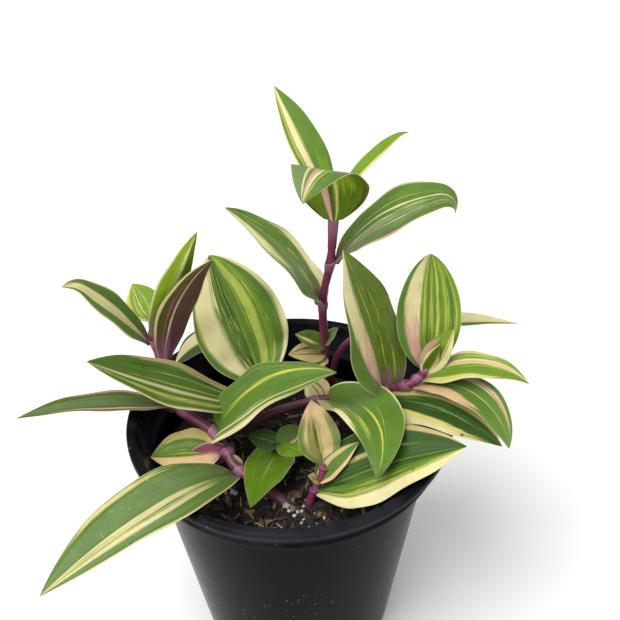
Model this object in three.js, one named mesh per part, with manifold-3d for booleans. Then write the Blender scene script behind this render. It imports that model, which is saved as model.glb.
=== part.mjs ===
// A variegated tradescantia in a round nursery pot.
// Millimetres, +Z up. The origin is the middle of the pot's underside, and -Y is the front.
// Each stem is a smooth curve through a few points chosen by hand, and each leaf grows from one of them.
import * as THREE from "three";
import { mergeVertices } from "three/addons/utils/BufferGeometryUtils.js";
import Module from "manifold-3d";

const wasm = await Module();
wasm.setup();

// ---------------------------------------------------------------- driving dimensions

const POT_HEIGHT = 90;
const LIP_RADIUS = 52.5;
const LIP_DEPTH = 2.6;
const BAND_DEPTH = 10;
const BAND_TAPER = 2.5;
const STEP_IN = 3;
const BASE_RADIUS = 33;
const WALL = 1.8;
const FLOOR = 2;
const DRAIN_HOLES = 8;
const DRAIN_RADIUS = 3.2;
const DRAIN_RING = 26;
const POT_SIDES = 44;

const SOIL_LEVEL = 72;
const SOIL_RELIEF = 0.9;
const CHIP_COUNT = 16;
const CHIP_SEED = 11;

const GAP = 0.3;
const BLADE = 0.8;
const SHEATH_WALL = 0.6;
const SHEATH_LENGTH = 5;
const MIN_HALF_WIDTH = 0.35;
const OUTLINE_TIP = 0.95;
const STEM_SIDES = 8;
const RAD = Math.PI / 180;

// ---------------------------------------------------------------- stems
// radius: at the root and at the tip. path: the points the stem passes through.

const STEMS = {
  creeping_stem: {
    radius: [2.0, 1.5],
    path: [[0, -24, 65], [-3, -22.5, 72], [-17, -12, 77], [-21, -6, 80], [-26, 1, 83], [-36, 8, 87],
      [-40, 13, 94], [-41.5, 16, 101], [-42.7, 17, 108.3], [-43, 18, 111], [-43, 21, 114]],
  },
  tall_stem: {
    radius: [1.5, 1.2],
    path: [[12, 31, 65], [13, 28, 92], [12.5, 24, 116], [15, 20, 134], [16, 17.5, 152], [16.5, 18, 156],
      [17, 18.5, 159.5]],
  },
  right_stem: {
    radius: [1.8, 1.4],
    path: [[-13, 5, 65], [-13, 8, 75], [-7, 9.7, 81], [10, 12, 84], [18, 10, 86], [27, 8, 87], [33, 9, 90],
      [39, 6, 94], [42.5, 7, 96], [45.5, 9.5, 97.5]],
  },
  centre_stem: {
    radius: [1.6, 1.5],
    path: [[-8, 20, 65], [-11, 17, 76], [-12, 15, 82], [-8, 20, 88]],
  },
  back_left_stem: {
    radius: [1.4, 1.2],
    path: [[-16, 33, 65], [-15, 35, 88], [-14, 35, 98]],
  },
  back_right_stem: {
    radius: [1.3, 1.1],
    path: [[15.5, 34, 65], [16, 33, 80], [20, 33.5, 90], [30, 34, 98]],
  },
  front_stem: {
    radius: [1.4, 1.2],
    path: [[4, -23, 65], [5, -23, 72], [7, -22, 77], [9, -20.5, 81], [10, -19, 84]],
  },
  low_stem: {
    radius: [1.2, 1.0],
    path: [[-3, 0, 65], [-4, -1, 72], [-4, -3, 77], [-4, -4, 80]],
  },
};

// ---------------------------------------------------------------- leaves
// on: the stem and which of its points. heading: the way the leaf points, seen from above, from +X
// towards +Y. rise: the slope at its base. droop: how much the slope falls to the tip, as the
// curl-th power of the way along. hook: a further fall in the last fifth. sway: how far the heading
// turns to the tip. roll: turn about the rib. fold, cup: slope of each half at the rib and at the
// edge. clasp: extra fold at the base. blunt: how slowly the base narrows. Angles are degrees.

const LEAVES = {
  leaf_tall_lower_left: { on: ["tall_stem", 2], heading: -176, rise: 86, droop: 47, curl: 0.5, length: 48,
    width: 15, roll: -18, blunt: 0.45 },
  leaf_tall_right: { on: ["tall_stem", 3], heading: -9, rise: 61, droop: 54, hook: 58, length: 48,
    width: 19, roll: 14, blunt: 1.1 },
  leaf_top_folded: { on: ["tall_stem", 4], heading: -98, rise: 84, droop: 165, curl: 2.2, sway: -30,
    length: 39, width: 23, fold: 5, cup: 0, clasp: 10, blunt: 0.5 },
  leaf_top_left: { on: ["tall_stem", 5], sheath: 2.4, heading: 128, rise: 57, droop: 15, length: 39,
    width: 11, roll: -12, blunt: 0.8 },
  leaf_top_right: { on: ["tall_stem", 6], sheath: 2, heading: 27, rise: 45, droop: 25, hook: 30,
    length: 28, width: 6, roll: 8, blunt: 0.9 },
  leaf_left_dark_back: { on: ["creeping_stem", 7], heading: -43, rise: 77, droop: 30, length: 59,
    width: 12, roll: -25, clasp: 15, blunt: 0.8 },
  leaf_left_outer: { on: ["creeping_stem", 8], sheath: 3, heading: -164, rise: 65, droop: 18, curl: 0.8,
    hook: 55, length: 38, width: 12, roll: -24, clasp: 15, blunt: 0.9 },
  leaf_left_upright: { on: ["creeping_stem", 9], sheath: 2.5, heading: -50, rise: 66, droop: 10,
    length: 59, width: 10, roll: -20, clasp: 15 },
  leaf_left_narrow: { on: ["creeping_stem", 5], heading: -167, rise: 43, droop: 51, curl: 0.6, length: 51,
    width: 12, roll: 6 },
  leaf_left_wide: { on: ["centre_stem", 2], heading: -156, rise: 35, droop: -4, length: 63, width: 19,
    roll: -20, clasp: 15, blunt: 1, against: ["leaf_centre_across"] },
  leaf_back_left: { on: ["back_left_stem", 2], heading: -160, rise: 20, droop: 70, length: 27,
    width: 14 },
  leaf_centre_upright: { on: ["centre_stem", 3], heading: 135, rise: 68, droop: 10, length: 46, width: 31,
    roll: -28 },
  leaf_centre_across: { on: ["creeping_stem", 4], heading: -7, rise: 63, droop: 58, length: 49, width: 24,
    roll: 8, clasp: 10, blunt: 0.42 },
  leaf_front_left_long: { on: ["creeping_stem", 2], sheath: 3.5, heading: -123, rise: 43, droop: 62,
    sway: -15, length: 81, width: 20, roll: -8, clasp: 15, blunt: 0.8 },
  leaf_front_left_small: { on: ["creeping_stem", 3], sheath: 3, heading: -173, rise: 16, droop: 20,
    length: 22, width: 18, roll: -10, clasp: 15, blunt: 0.7 },
  leaf_front_heart: { on: ["low_stem", 2], sheath: 2, heading: -106, rise: 28, droop: 32, length: 32,
    width: 15, clasp: 20, blunt: 0.45 },
  leaf_front_young: { on: ["front_stem", 4], sheath: 2, heading: 103, rise: 55, droop: 5, length: 20,
    width: 13.5 },
  leaf_front_right_long: { on: ["front_stem", 2], sheath: 2, heading: -8, rise: 41, droop: 30, length: 49,
    width: 28, roll: 14, against: ["leaf_front_young"] },
  leaf_front_folded: { on: ["right_stem", 3], heading: -36, rise: 42, droop: 62, sway: -75, length: 55,
    width: 21, blunt: 0.6 },
  leaf_right_low: { on: ["right_stem", 5], heading: -38, rise: 30, droop: 50, length: 47, width: 22,
    clasp: 15 },
  leaf_right_drooping: { on: ["right_stem", 7], sheath: 4, heading: -15, rise: 28, droop: 60, sway: -70,
    length: 43, width: 15, clasp: 15, against: ["leaf_right_side"] },
  leaf_right_side: { on: ["right_stem", 8], sheath: 3, heading: -18, rise: 38, droop: 75, curl: 1.5,
    length: 36, width: 15, clasp: 15 },
  leaf_right_upright: { on: ["right_stem", 9], sheath: 3, heading: 84, rise: 79, droop: 5, length: 39,
    width: 21, clasp: 15, against: ["leaf_right_side"] },
  leaf_centre_right_upright: { on: ["right_stem", 6], heading: 180, rise: 82, droop: 10, length: 57,
    width: 25, roll: -42, blunt: 0.55, against: ["leaf_front_folded", "leaf_right_low"] },
  leaf_back_right: { on: ["back_right_stem", 3], heading: 2, rise: 7, droop: 20, length: 50, width: 9 },
};

// Young leaves and buds, fused to the stem they grow from. The place is counted in path points, so
// 2.5 is half way between the third point and the fourth.

const SHOOTS = [
  { on: ["creeping_stem", 9.9], heading: 122, rise: 36, droop: 10, length: 15, width: 12, roll: -20 },
  { on: ["creeping_stem", 2.8], heading: 180, rise: 6, length: 13, width: 8, roll: 110, clasp: 10 },
  { on: ["tall_stem", 1.12], heading: -172, rise: 38, droop: 10, length: 12, width: 7, roll: -35,
    clasp: 15 },
  { on: ["tall_stem", 1.16], heading: -18, rise: 62, droop: 10, length: 9, width: 5, roll: 35,
    clasp: 15 },
  { on: ["tall_stem", 0.98], heading: -160, rise: 25, droop: 20, length: 14, width: 8, roll: -35,
    clasp: 15 },
  { on: ["tall_stem", 0.9], heading: -120, rise: 10, droop: 20, length: 8, width: 5, roll: -10,
    clasp: 15 },
  { on: ["right_stem", 8.75], heading: -2, rise: 63, length: 16, width: 8, roll: 62, clasp: 20 },
  { on: ["right_stem", 8.6], heading: -12, rise: 68, length: 13, width: 6, roll: 98, clasp: 20 },
  { on: ["front_stem", 2.5], heading: -150, rise: 50, length: 6, width: 4, roll: -30, clasp: 10 },
  { on: ["front_stem", 2.5], heading: 20, rise: 50, droop: 20, length: 18, width: 7, roll: 20,
    clasp: 15 },
  { on: ["low_stem", 2.8], heading: -35, rise: 14, droop: 25, length: 10, width: 8, roll: 14, clasp: 15 },
  { on: ["low_stem", 2.8], heading: 163, rise: 16, droop: 10, length: 11, width: 7, roll: -30,
    clasp: 15 },
  { on: ["low_stem", 2.8], heading: 15, rise: 35, droop: 10, length: 10, width: 8, roll: 35, clasp: 15 },
  { on: ["right_stem", 3.15], heading: 125, rise: 30, droop: 20, length: 10, width: 9, roll: -30,
    clasp: 15 },
  { on: ["right_stem", 4.3], heading: 30, rise: 14, droop: 10, length: 14, width: 7, roll: 25,
    clasp: 15 },
];

// ---------------------------------------------------------------- colours

const GREEN = { color: 0x5f8a45, roughness: 0.45, metalness: 0 };
const DARK_GREEN = { color: 0x3f6638, roughness: 0.45, metalness: 0 };
const CREAM = { color: 0xd8d3a4, roughness: 0.5, metalness: 0 };
const PURPLE = { color: 0x6b3355, roughness: 0.5, metalness: 0 };
const STEM_PINK = { color: 0x8a3a55, roughness: 0.55, metalness: 0 };
const BLACK_PLASTIC = { color: 0x121214, roughness: 0.3, metalness: 0 };
const SOIL_BROWN = { color: 0x2a211a, roughness: 0.95, metalness: 0 };

const LEAF_COLOURS = {
  leaf_left_dark_back: PURPLE,
  leaf_centre_upright: CREAM,
  leaf_right_upright: CREAM,
  leaf_back_right: CREAM,
  leaf_left_wide: DARK_GREEN,
  leaf_front_right_long: DARK_GREEN,
  leaf_right_low: DARK_GREEN,
};

// ---------------------------------------------------------------- helpers for solids

function geometryOf(positions, indices) {
  const geometry = new THREE.BufferGeometry();
  geometry.setAttribute("position", new THREE.Float32BufferAttribute(positions, 3));
  geometry.setIndex(indices);
  return geometry;
}

function solidOf(geometry) {
  const bare = geometry.clone();
  bare.deleteAttribute("normal");
  bare.deleteAttribute("uv");
  const merged = mergeVertices(bare, 1e-4);
  return new wasm.Manifold(new wasm.Mesh({
    numProp: 3,
    vertProperties: new Float32Array(merged.attributes.position.array),
    triVerts: new Uint32Array(merged.index.array),
  }));
}

function geometryFrom(solid) {
  const mesh = solid.getMesh();
  return geometryOf(Array.from(mesh.vertProperties), Array.from(mesh.triVerts));
}

function largestBody(solid) {
  const bodies = solid.decompose();
  return bodies.reduce((best, body) => (body.volume() > best.volume() ? body : best));
}

// A closed skin over rings of equal length. A ring runs along one face and back along the other,
// and both faces are split along the same diagonals, so a thin waved blade never crosses itself.
function loft(rings) {
  const count = rings[0].length;
  const half = count / 2;
  const positions = rings.flat().flatMap((point) => [point.x, point.y, point.z]);
  const indices = [];
  for (let i = 0; i + 1 < rings.length; i += 1) {
    for (let k = 0; k < count; k += 1) {
      const next = (k + 1) % count;
      const a = i * count + k;
      const b = i * count + next;
      const c = a + count;
      const d = b + count;
      if (k < half) indices.push(a, b, d, a, d, c);
      else indices.push(a, b, c, b, d, c);
    }
  }
  for (let k = 0; k + 1 < half; k += 1) {
    const low = [k, k + 1, count - 1 - k, count - 2 - k];
    const high = low.map((index) => index + (rings.length - 1) * count);
    indices.push(low[0], low[2], low[3], low[0], low[3], low[1]);
    indices.push(high[0], high[3], high[2], high[0], high[1], high[3]);
  }
  return geometryOf(positions, indices);
}

function mulberry(seed) {
  let state = seed;
  return () => {
    state = (state + 0x6d2b79f5) | 0;
    let value = Math.imul(state ^ (state >>> 15), 1 | state);
    value = (value + Math.imul(value ^ (value >>> 7), 61 | value)) ^ value;
    return ((value ^ (value >>> 14)) >>> 0) / 4294967296;
  };
}

function smooth(value) {
  const x = THREE.MathUtils.clamp(value, 0, 1);
  return x * x * (3 - 2 * x);
}

// ---------------------------------------------------------------- stems as solids

const curves = {};
for (const [name, stem] of Object.entries(STEMS)) {
  const points = stem.path.map((point) => new THREE.Vector3(...point));
  curves[name] = new THREE.CatmullRomCurve3(points, false, "catmullrom", 0.5);
}

function lastPlace(name) {
  return STEMS[name].path.length - 1;
}

function stemPoint(name, place) {
  return curves[name].getPoint(place / lastPlace(name));
}

function stemRadius(name, place) {
  const [root, tip] = STEMS[name].radius;
  return THREE.MathUtils.lerp(root, tip, place / lastPlace(name));
}

// A stretch of a stem from one place on its path to another, swollen by extra and lengthened by
// ends at both of its ends.
function stemStretch(name, from, to, extra, ends, steps) {
  const side = new THREE.Vector3(0, 1, 0);
  const rings = [];
  for (let i = 0; i <= steps; i += 1) {
    const place = from + ((to - from) * i) / steps;
    const tangent = curves[name].getTangent(place / lastPlace(name));
    const centre = stemPoint(name, place);
    if (i === 0) centre.addScaledVector(tangent, -ends);
    if (i === steps) centre.addScaledVector(tangent, ends);
    const across = new THREE.Vector3().crossVectors(side, tangent).normalize();
    const up = new THREE.Vector3().crossVectors(tangent, across).normalize();
    const radius = stemRadius(name, place) + extra;
    const ring = [];
    for (let k = 0; k < STEM_SIDES; k += 1) {
      const turn = (2 * Math.PI * (k + 0.5)) / STEM_SIDES;
      ring.push(centre.clone()
        .addScaledVector(across, radius * Math.cos(turn))
        .addScaledVector(up, radius * Math.sin(turn)));
    }
    rings.push(ring);
  }
  return solidOf(loft(rings));
}

function stemSolid(name, extra) {
  return stemStretch(name, 0, lastPlace(name), extra, extra, Math.max(6, lastPlace(name) * 2));
}

// ---------------------------------------------------------------- leaves as solids

function outline(t, blunt) {
  return (t + 0.03) ** blunt * (1 - 0.998 * t) ** OUTLINE_TIP;
}

// The slope and the heading of the rib, t of the way along.
function ribDirection(leaf, t) {
  const { heading, rise, droop = 0, curl = 1, hook = 0, sway = 0 } = leaf;
  const slope = (rise - droop * t ** curl - hook * smooth((t - 0.8) / 0.2)) * RAD;
  const turn = (heading + sway * t) * RAD;
  return { slope, turn };
}

// The middle surface of a blade: rows of points along the rib, each from one edge to the other.
function bladeRows(leaf, base, rows, columns) {
  const { length, width, roll = 0, fold = 12, cup = 5, clasp = 35, blunt = 0.62 } = leaf;
  const widest = Math.max(...Array.from({ length: 201 }, (_, i) => outline(i / 200, blunt)));
  const steps = 8;
  const place = base.clone();
  const result = [];
  for (let i = 0; i <= rows; i += 1) {
    const t = i / rows;
    const { slope, turn } = ribDirection(leaf, t);
    const along = new THREE.Vector3(Math.cos(slope) * Math.cos(turn),
      Math.cos(slope) * Math.sin(turn), Math.sin(slope));
    const level = new THREE.Vector3(-Math.sin(turn), Math.cos(turn), 0);
    const up = new THREE.Vector3().crossVectors(along, level);
    const side = level.clone().applyAxisAngle(along, roll * RAD);
    const face = up.clone().applyAxisAngle(along, roll * RAD);
    const half = Math.max(MIN_HALF_WIDTH, (width / 2) * (outline(t, blunt) / widest));
    const hug = clasp * smooth(1 - t / 0.25);
    const inner = (fold + hug) * RAD;
    const outer = (cup + hug) * RAD;
    const row = [];
    for (let j = 0; j <= columns; j += 1) {
      const v = (2 * j) / columns - 1;
      const bend = ((outer - inner) * Math.abs(v)) / 2;
      const reach = half * Math.abs(v) * (bend === 0 ? 1 : Math.sin(bend) / bend);
      row.push(place.clone()
        .addScaledVector(side, reach * Math.cos(inner + bend) * Math.sign(v))
        .addScaledVector(face, reach * Math.sin(inner + bend)));
    }
    result.push(row);
    for (let k = 0; k < steps && i < rows; k += 1) {
      const middle = ribDirection(leaf, (i + (k + 0.5) / steps) / rows);
      const step = length / rows / steps;
      place.x += step * Math.cos(middle.slope) * Math.cos(middle.turn);
      place.y += step * Math.cos(middle.slope) * Math.sin(middle.turn);
      place.z += step * Math.sin(middle.slope);
    }
  }
  return result;
}

// The unit normal of the middle surface at each point, from the point's neighbours.
function rowNormals(rows) {
  return rows.map((row, i) => row.map((point, j) => {
    const before = rows[Math.max(0, i - 1)][j];
    const after = rows[Math.min(rows.length - 1, i + 1)][j];
    const left = row[Math.max(0, j - 1)];
    const right = row[Math.min(row.length - 1, j + 1)];
    return after.clone().sub(before).cross(right.clone().sub(left)).normalize();
  }));
}

function bladeSolid(leaf, base, thickness) {
  const rows = THREE.MathUtils.clamp(Math.round(leaf.length / 5), 4, 10);
  const columns = 2 * THREE.MathUtils.clamp(Math.floor(leaf.width / 7.5), 1, 3);
  const middle = bladeRows(leaf, base, rows, columns);
  const normals = rowNormals(middle);
  const rings = middle.map((row, i) => {
    const shifted = (amount) => row.map((point, j) => point.clone()
      .addScaledVector(normals[i][j], amount));
    return [...shifted(-thickness / 2), ...shifted(thickness / 2).reverse()];
  });
  return solidOf(loft(rings));
}

// The room that a blade needs round it.
function swollenBlade(leaf, base) {
  const wider = { ...leaf, width: leaf.width + 3 * GAP, length: leaf.length + 2 * GAP };
  const { slope, turn } = ribDirection(leaf, 0);
  const start = base.clone();
  start.x -= GAP * Math.cos(slope) * Math.cos(turn);
  start.y -= GAP * Math.cos(slope) * Math.sin(turn);
  start.z -= GAP * Math.sin(slope);
  return bladeSolid(wider, start, BLADE + 2 * GAP);
}

// Where a leaf's sheath begins and ends on its stem, counted in path points.
function sheathSpan(leaf) {
  const [name, point] = leaf.on;
  const spacing = stemPoint(name, point).distanceTo(stemPoint(name, point - 1));
  return [point - Math.min(leaf.sheath ?? SHEATH_LENGTH, spacing - 1.2) / spacing, point];
}

function sheathSolid(leaf, extra, ends) {
  const [from, to] = sheathSpan(leaf);
  return stemStretch(leaf.on[0], from, to, GAP + SHEATH_WALL + extra, ends, 3);
}

// The blade begins in the sheath's wall, a little below its mouth.
function leafBase(leaf) {
  const [name, point] = leaf.on;
  const outward = stemRadius(name, point) + GAP + SHEATH_WALL / 2;
  const base = stemPoint(name, point);
  base.x += outward * Math.cos(leaf.heading * RAD);
  base.y += outward * Math.sin(leaf.heading * RAD);
  base.z -= 0.8;
  return base;
}

// A blade with its sheath, cleared of the stem, of the other sheaths on that stem, and of the
// blades that it names because it grew up against them.
function leafSolid(name) {
  const leaf = LEAVES[name];
  const others = Object.values(LEAVES).filter((other) => other !== leaf && other.on[0] === leaf.on[0]);
  const blade = bladeSolid(leaf, leafBase(leaf), BLADE);
  const neighbours = (leaf.against ?? []).map((other) => LEAVES[other])
    .map((other) => swollenBlade(other, leafBase(other)));
  const shoots = SHOOTS.filter((shoot) => shoot.on[0] === leaf.on[0])
    .map((shoot) => swollenBlade(shoot, stemPoint(...shoot.on)));
  const around = [...others.map((other) => sheathSolid(other, GAP, GAP)), ...neighbours];
  const cleared = around.reduce((solid, other) => solid.subtract(other), blade);
  const whole = cleared.add(sheathSolid(leaf, 0, 0));
  const grown = [stemSolid(leaf.on[0], GAP), ...shoots];
  return largestBody(grown.reduce((solid, other) => solid.subtract(other), whole));
}

// A stem with its young leaves.
function shootySolid(name) {
  const shoots = SHOOTS.filter((shoot) => shoot.on[0] === name);
  const stem = stemSolid(name, 0);
  return shoots.reduce((solid, shoot) => solid.add(bladeSolid(shoot, stemPoint(...shoot.on), BLADE)), stem);
}

// ---------------------------------------------------------------- pot

const STEP_HEIGHT = POT_HEIGHT - BAND_DEPTH;
const BAND_RADIUS = LIP_RADIUS - 1.5;
const BAND_FOOT = BAND_RADIUS - BAND_TAPER;
const BODY_TOP = BAND_FOOT - STEP_IN;
const INSIDE_TOP = BODY_TOP - WALL;
const INSIDE_FOOT = BASE_RADIUS - WALL;

function insideRadius(height) {
  const share = (height - FLOOR) / (STEP_HEIGHT - FLOOR);
  return THREE.MathUtils.lerp(INSIDE_FOOT, INSIDE_TOP, share);
}

function potSolid() {
  const profile = [
    [0, 0], [BASE_RADIUS - 1.2, 0], [BASE_RADIUS, 1.4],
    [BODY_TOP, STEP_HEIGHT - 0.8], [BAND_FOOT + 0.6, STEP_HEIGHT], [BAND_FOOT + 0.6, STEP_HEIGHT + 1.2],
    [BAND_FOOT + 0.1, STEP_HEIGHT + 1.8],
    [BAND_RADIUS, POT_HEIGHT - LIP_DEPTH], [LIP_RADIUS - 0.2, POT_HEIGHT - LIP_DEPTH],
    [LIP_RADIUS, POT_HEIGHT - LIP_DEPTH + 0.6], [LIP_RADIUS, POT_HEIGHT - 0.8],
    [LIP_RADIUS - 0.8, POT_HEIGHT], [LIP_RADIUS - 2.6, POT_HEIGHT],
    [LIP_RADIUS - 3.3, POT_HEIGHT - 0.8],
    [BAND_FOOT - WALL, STEP_HEIGHT + 1.2], [INSIDE_TOP, STEP_HEIGHT - 0.6],
    [INSIDE_FOOT, FLOOR], [0, FLOOR],
  ];
  const points = profile.map(([radius, height]) => new THREE.Vector2(radius, height));
  const lathe = new THREE.LatheGeometry(points, POT_SIDES);
  lathe.rotateX(Math.PI / 2);
  const holes = Array.from({ length: DRAIN_HOLES }, (_, i) => {
    const turn = (2 * Math.PI * (i + 0.5)) / DRAIN_HOLES;
    const hole = new THREE.CylinderGeometry(DRAIN_RADIUS, DRAIN_RADIUS, FLOOR * 4, 16);
    hole.rotateX(Math.PI / 2);
    hole.translate(DRAIN_RING * Math.cos(turn), DRAIN_RING * Math.sin(turn), 0);
    return solidOf(hole);
  });
  return holes.reduce((pot, hole) => pot.subtract(hole), solidOf(lathe));
}

// ---------------------------------------------------------------- soil

function soilTop(x, y) {
  return SOIL_LEVEL
    + SOIL_RELIEF * 0.6 * Math.sin(x * 0.19 + 1.1) * Math.cos(y * 0.23)
    + SOIL_RELIEF * 0.4 * Math.sin(x * 0.53 + y * 0.41);
}

// The soil's rings, from the middle of its underside round its side to the middle of its top.
function soilBlock() {
  const under = FLOOR + GAP;
  const edge = (height) => insideRadius(height) - GAP - 0.05;
  const rings = [[4, under], [edge(under), under], [edge(SOIL_LEVEL - 3), SOIL_LEVEL - 3]];
  const shares = [0.995, 0.8, 0.6, 0.4, 0.2];
  shares.forEach((share) => rings.push([edge(SOIL_LEVEL) * share, null]));
  const positions = [0, 0, under];
  rings.forEach(([radius, height]) => {
    for (let k = 0; k < POT_SIDES; k += 1) {
      const turn = (2 * Math.PI * k) / POT_SIDES;
      const x = radius * Math.sin(turn);
      const y = radius * Math.cos(turn);
      positions.push(x, y, height ?? soilTop(x, y));
    }
  });
  positions.push(0, 0, soilTop(0, 0));
  const top = positions.length / 3 - 1;
  const indices = [];
  for (let k = 0; k < POT_SIDES; k += 1) {
    const next = (k + 1) % POT_SIDES;
    indices.push(0, 1 + k, 1 + next);
    for (let i = 0; i + 1 < rings.length; i += 1) {
      const a = 1 + i * POT_SIDES;
      const b = a + POT_SIDES;
      indices.push(a + k, b + k, b + next, a + k, b + next, a + next);
    }
    indices.push(top, top - POT_SIDES + next, top - POT_SIDES + k);
  }
  return solidOf(geometryOf(positions, indices));
}

// Bark chips and perlite grains, half sunk in the soil and clear of every stem.
function chipSolids() {
  const random = mulberry(CHIP_SEED);
  const roots = Object.keys(STEMS).map((name) => stemPoint(name, 0));
  const chips = [];
  while (chips.length < CHIP_COUNT) {
    const reach = (insideRadius(SOIL_LEVEL) - 6) * Math.sqrt(random());
    const turn = 2 * Math.PI * random();
    const x = reach * Math.cos(turn);
    const y = reach * Math.sin(turn);
    const size = 1.2 + 1.6 * random();
    const grain = new THREE.OctahedronGeometry(size, 0);
    grain.scale(1 + random(), 0.7, 0.5);
    grain.rotateZ(Math.PI * random());
    grain.translate(x, y, soilTop(x, y));
    const clear = roots.every((root) => Math.hypot(root.x - x, root.y - y) > 9);
    if (clear) chips.push(solidOf(grain));
  }
  return chips;
}

function soilSolid() {
  const lumpy = chipSolids().reduce((soil, chip) => soil.add(chip), soilBlock());
  return Object.keys(STEMS).reduce((soil, name) => soil.subtract(stemSolid(name, GAP)), lumpy);
}

// ---------------------------------------------------------------- the whole plant

const plant = new THREE.Group();

function addPart(name, solid, look) {
  const geometry = geometryFrom(solid).toNonIndexed();
  geometry.computeVertexNormals();
  const mesh = new THREE.Mesh(geometry, new THREE.MeshStandardMaterial({ ...look, flatShading: true }));
  mesh.name = name;
  plant.add(mesh);
}

addPart("pot", potSolid(), BLACK_PLASTIC);
addPart("soil", soilSolid(), SOIL_BROWN);
Object.keys(STEMS).forEach((name) => addPart(name, shootySolid(name), STEM_PINK));
Object.keys(LEAVES).forEach((name) => addPart(name, leafSolid(name), LEAF_COLOURS[name] ?? GREEN));

export default plant;
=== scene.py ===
"""A variegated tradescantia in a black nursery pot, dressed for Blender 4.5.

Shapes are worked out in millimetres, with +Z up and the origin under the middle of the pot, and are
put into the meshes in metres. A leaf is described as it grows: the node of the stem that it sits
on, its heading seen from above, its slope, its length and width, and the stripes across its blade,
counted from 0 at its right margin to 1 at its left one, looking from its base to its tip.
"""

import math

import bpy
import numpy as np
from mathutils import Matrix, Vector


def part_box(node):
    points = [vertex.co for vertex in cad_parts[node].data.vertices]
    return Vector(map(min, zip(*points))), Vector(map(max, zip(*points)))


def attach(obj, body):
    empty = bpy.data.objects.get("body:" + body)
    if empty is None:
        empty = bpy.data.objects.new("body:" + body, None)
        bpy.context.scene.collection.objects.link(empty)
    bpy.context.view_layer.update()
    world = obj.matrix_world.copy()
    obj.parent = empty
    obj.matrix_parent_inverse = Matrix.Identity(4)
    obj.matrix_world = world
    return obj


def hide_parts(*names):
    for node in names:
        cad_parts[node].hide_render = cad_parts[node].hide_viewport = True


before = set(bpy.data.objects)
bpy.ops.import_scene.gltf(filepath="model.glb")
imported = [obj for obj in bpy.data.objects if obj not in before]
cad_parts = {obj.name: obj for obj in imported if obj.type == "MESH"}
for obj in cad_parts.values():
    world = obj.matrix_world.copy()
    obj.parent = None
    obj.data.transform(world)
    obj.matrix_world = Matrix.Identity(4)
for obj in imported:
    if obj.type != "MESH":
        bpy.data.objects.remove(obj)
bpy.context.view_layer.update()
POT_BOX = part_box("pot")

bl_info = {
    "name": "Potted tradescantia",
    "version": (1, 0, 0),
    "blender": (4, 5, 0),
    "location": "View3D > Sidebar > Plant",
    "description": "Builds a variegated tradescantia in a nursery pot, piece by piece",
    "category": "Add Mesh",
}

MM = 0.001
SURFACE_MAP = "blade"

# The pot, in millimetres, beside what its settings hold.
BAND_DEPTH = 10
LIP_OVER_BAND = 1.5
BAND_TAPER = 2.5
STEP_IN = 3
POT_FLOOR = 2
DRAIN_HOLES, DRAIN_RING, DRAIN_RADIUS = 8, 26.0, 3.2

# Stems, sheaths and blades, in millimetres.
NODE_SWELL, NODE_PINCH = 0.2, 0.12
SHEATH_LENGTH, SHEATH_CLEAR = 5, 1.2
BLADE_MARGIN, BLADE_BODY = 0.2, 0.5
RIB_GROOVE, RIB_RIDGE = 0.16, 0.4
BLADE_OUT, BLADE_DOWN = 0.6, 0.8
# How deep a margin waves, as a share of the blade's width, and how often.
WAVE_DEPTH, WAVES = 0.03, 2.3

# The plug of soil: the height of its underside and its gap to the wall, in millimetres.
SOIL_FLOOR, SOIL_GAP = 2.3, 0.4

# Rows and columns of a young leaf, and where the seeds of their colours start.
SHOOT_GRID = (28, 14)
SHOOT_SEED = 40

# The camera: its distance from the middle of the rim and that rim's height in millimetres, how many
# degrees it stands above the rim, its turns from there in degrees, and its sensor in millimetres.
CAMERA_DISTANCE, RIM_HEIGHT = 324.2, 90.0
CAMERA_ABOVE = 40.83
CAMERA_YAW, CAMERA_PITCH, CAMERA_ROLL = -1.438, 5.746, 2.817
SENSOR_WIDTH = 36.0

# Floor and lights, in metres.
FLOOR_REACH = 5.0
KEY_PLACE, FILL_PLACE, FILL_SIZE = (-0.45, -0.35, 1.0), (0.8, -0.5, 0.5), 0.6


def tone(code):
    """A colour written as six hex digits, as linear red, green and blue."""
    parts = [int(code[i:i + 2], 16) / 255 for i in (0, 2, 4)]
    return tuple(c / 12.92 if c <= 0.04045 else ((c + 0.055) / 1.055) ** 2.4 for c in parts)


# Colours that aren't settings, and the heights in metres where the pot's band of painted sheen
# begins.
STEM_DOT, SHEATH_MOUTH = tone("d9b9c4"), tone("b8958f")
# The first is a painted sheen: a bluish grey for light reflected off the pot's band and lip.
PAINTED_SHEEN, WATER_SPOT = tone("3a3f46"), tone("8f897e")
CRUMB, PALE_FLECK = tone("2a1d15"), tone("7b6548")
DARK_BARK, DARK_CHUNK, PALE_CHUNK = tone("1a120d"), tone("2a1e17"), tone("84674a")
DARK_STRAW, PALE_STRAW = tone("8a7350"), tone("d8c49a")
DARK_FIBRE, PALE_FIBRE = tone("3a2a1e"), tone("a08a68")
DARK_PERLITE = tone("7d776c")
SHEEN_FROM, SHEEN_FULL = 0.0795, 0.0815


# ------------------------------------------------------------------ how the plant grows

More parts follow.
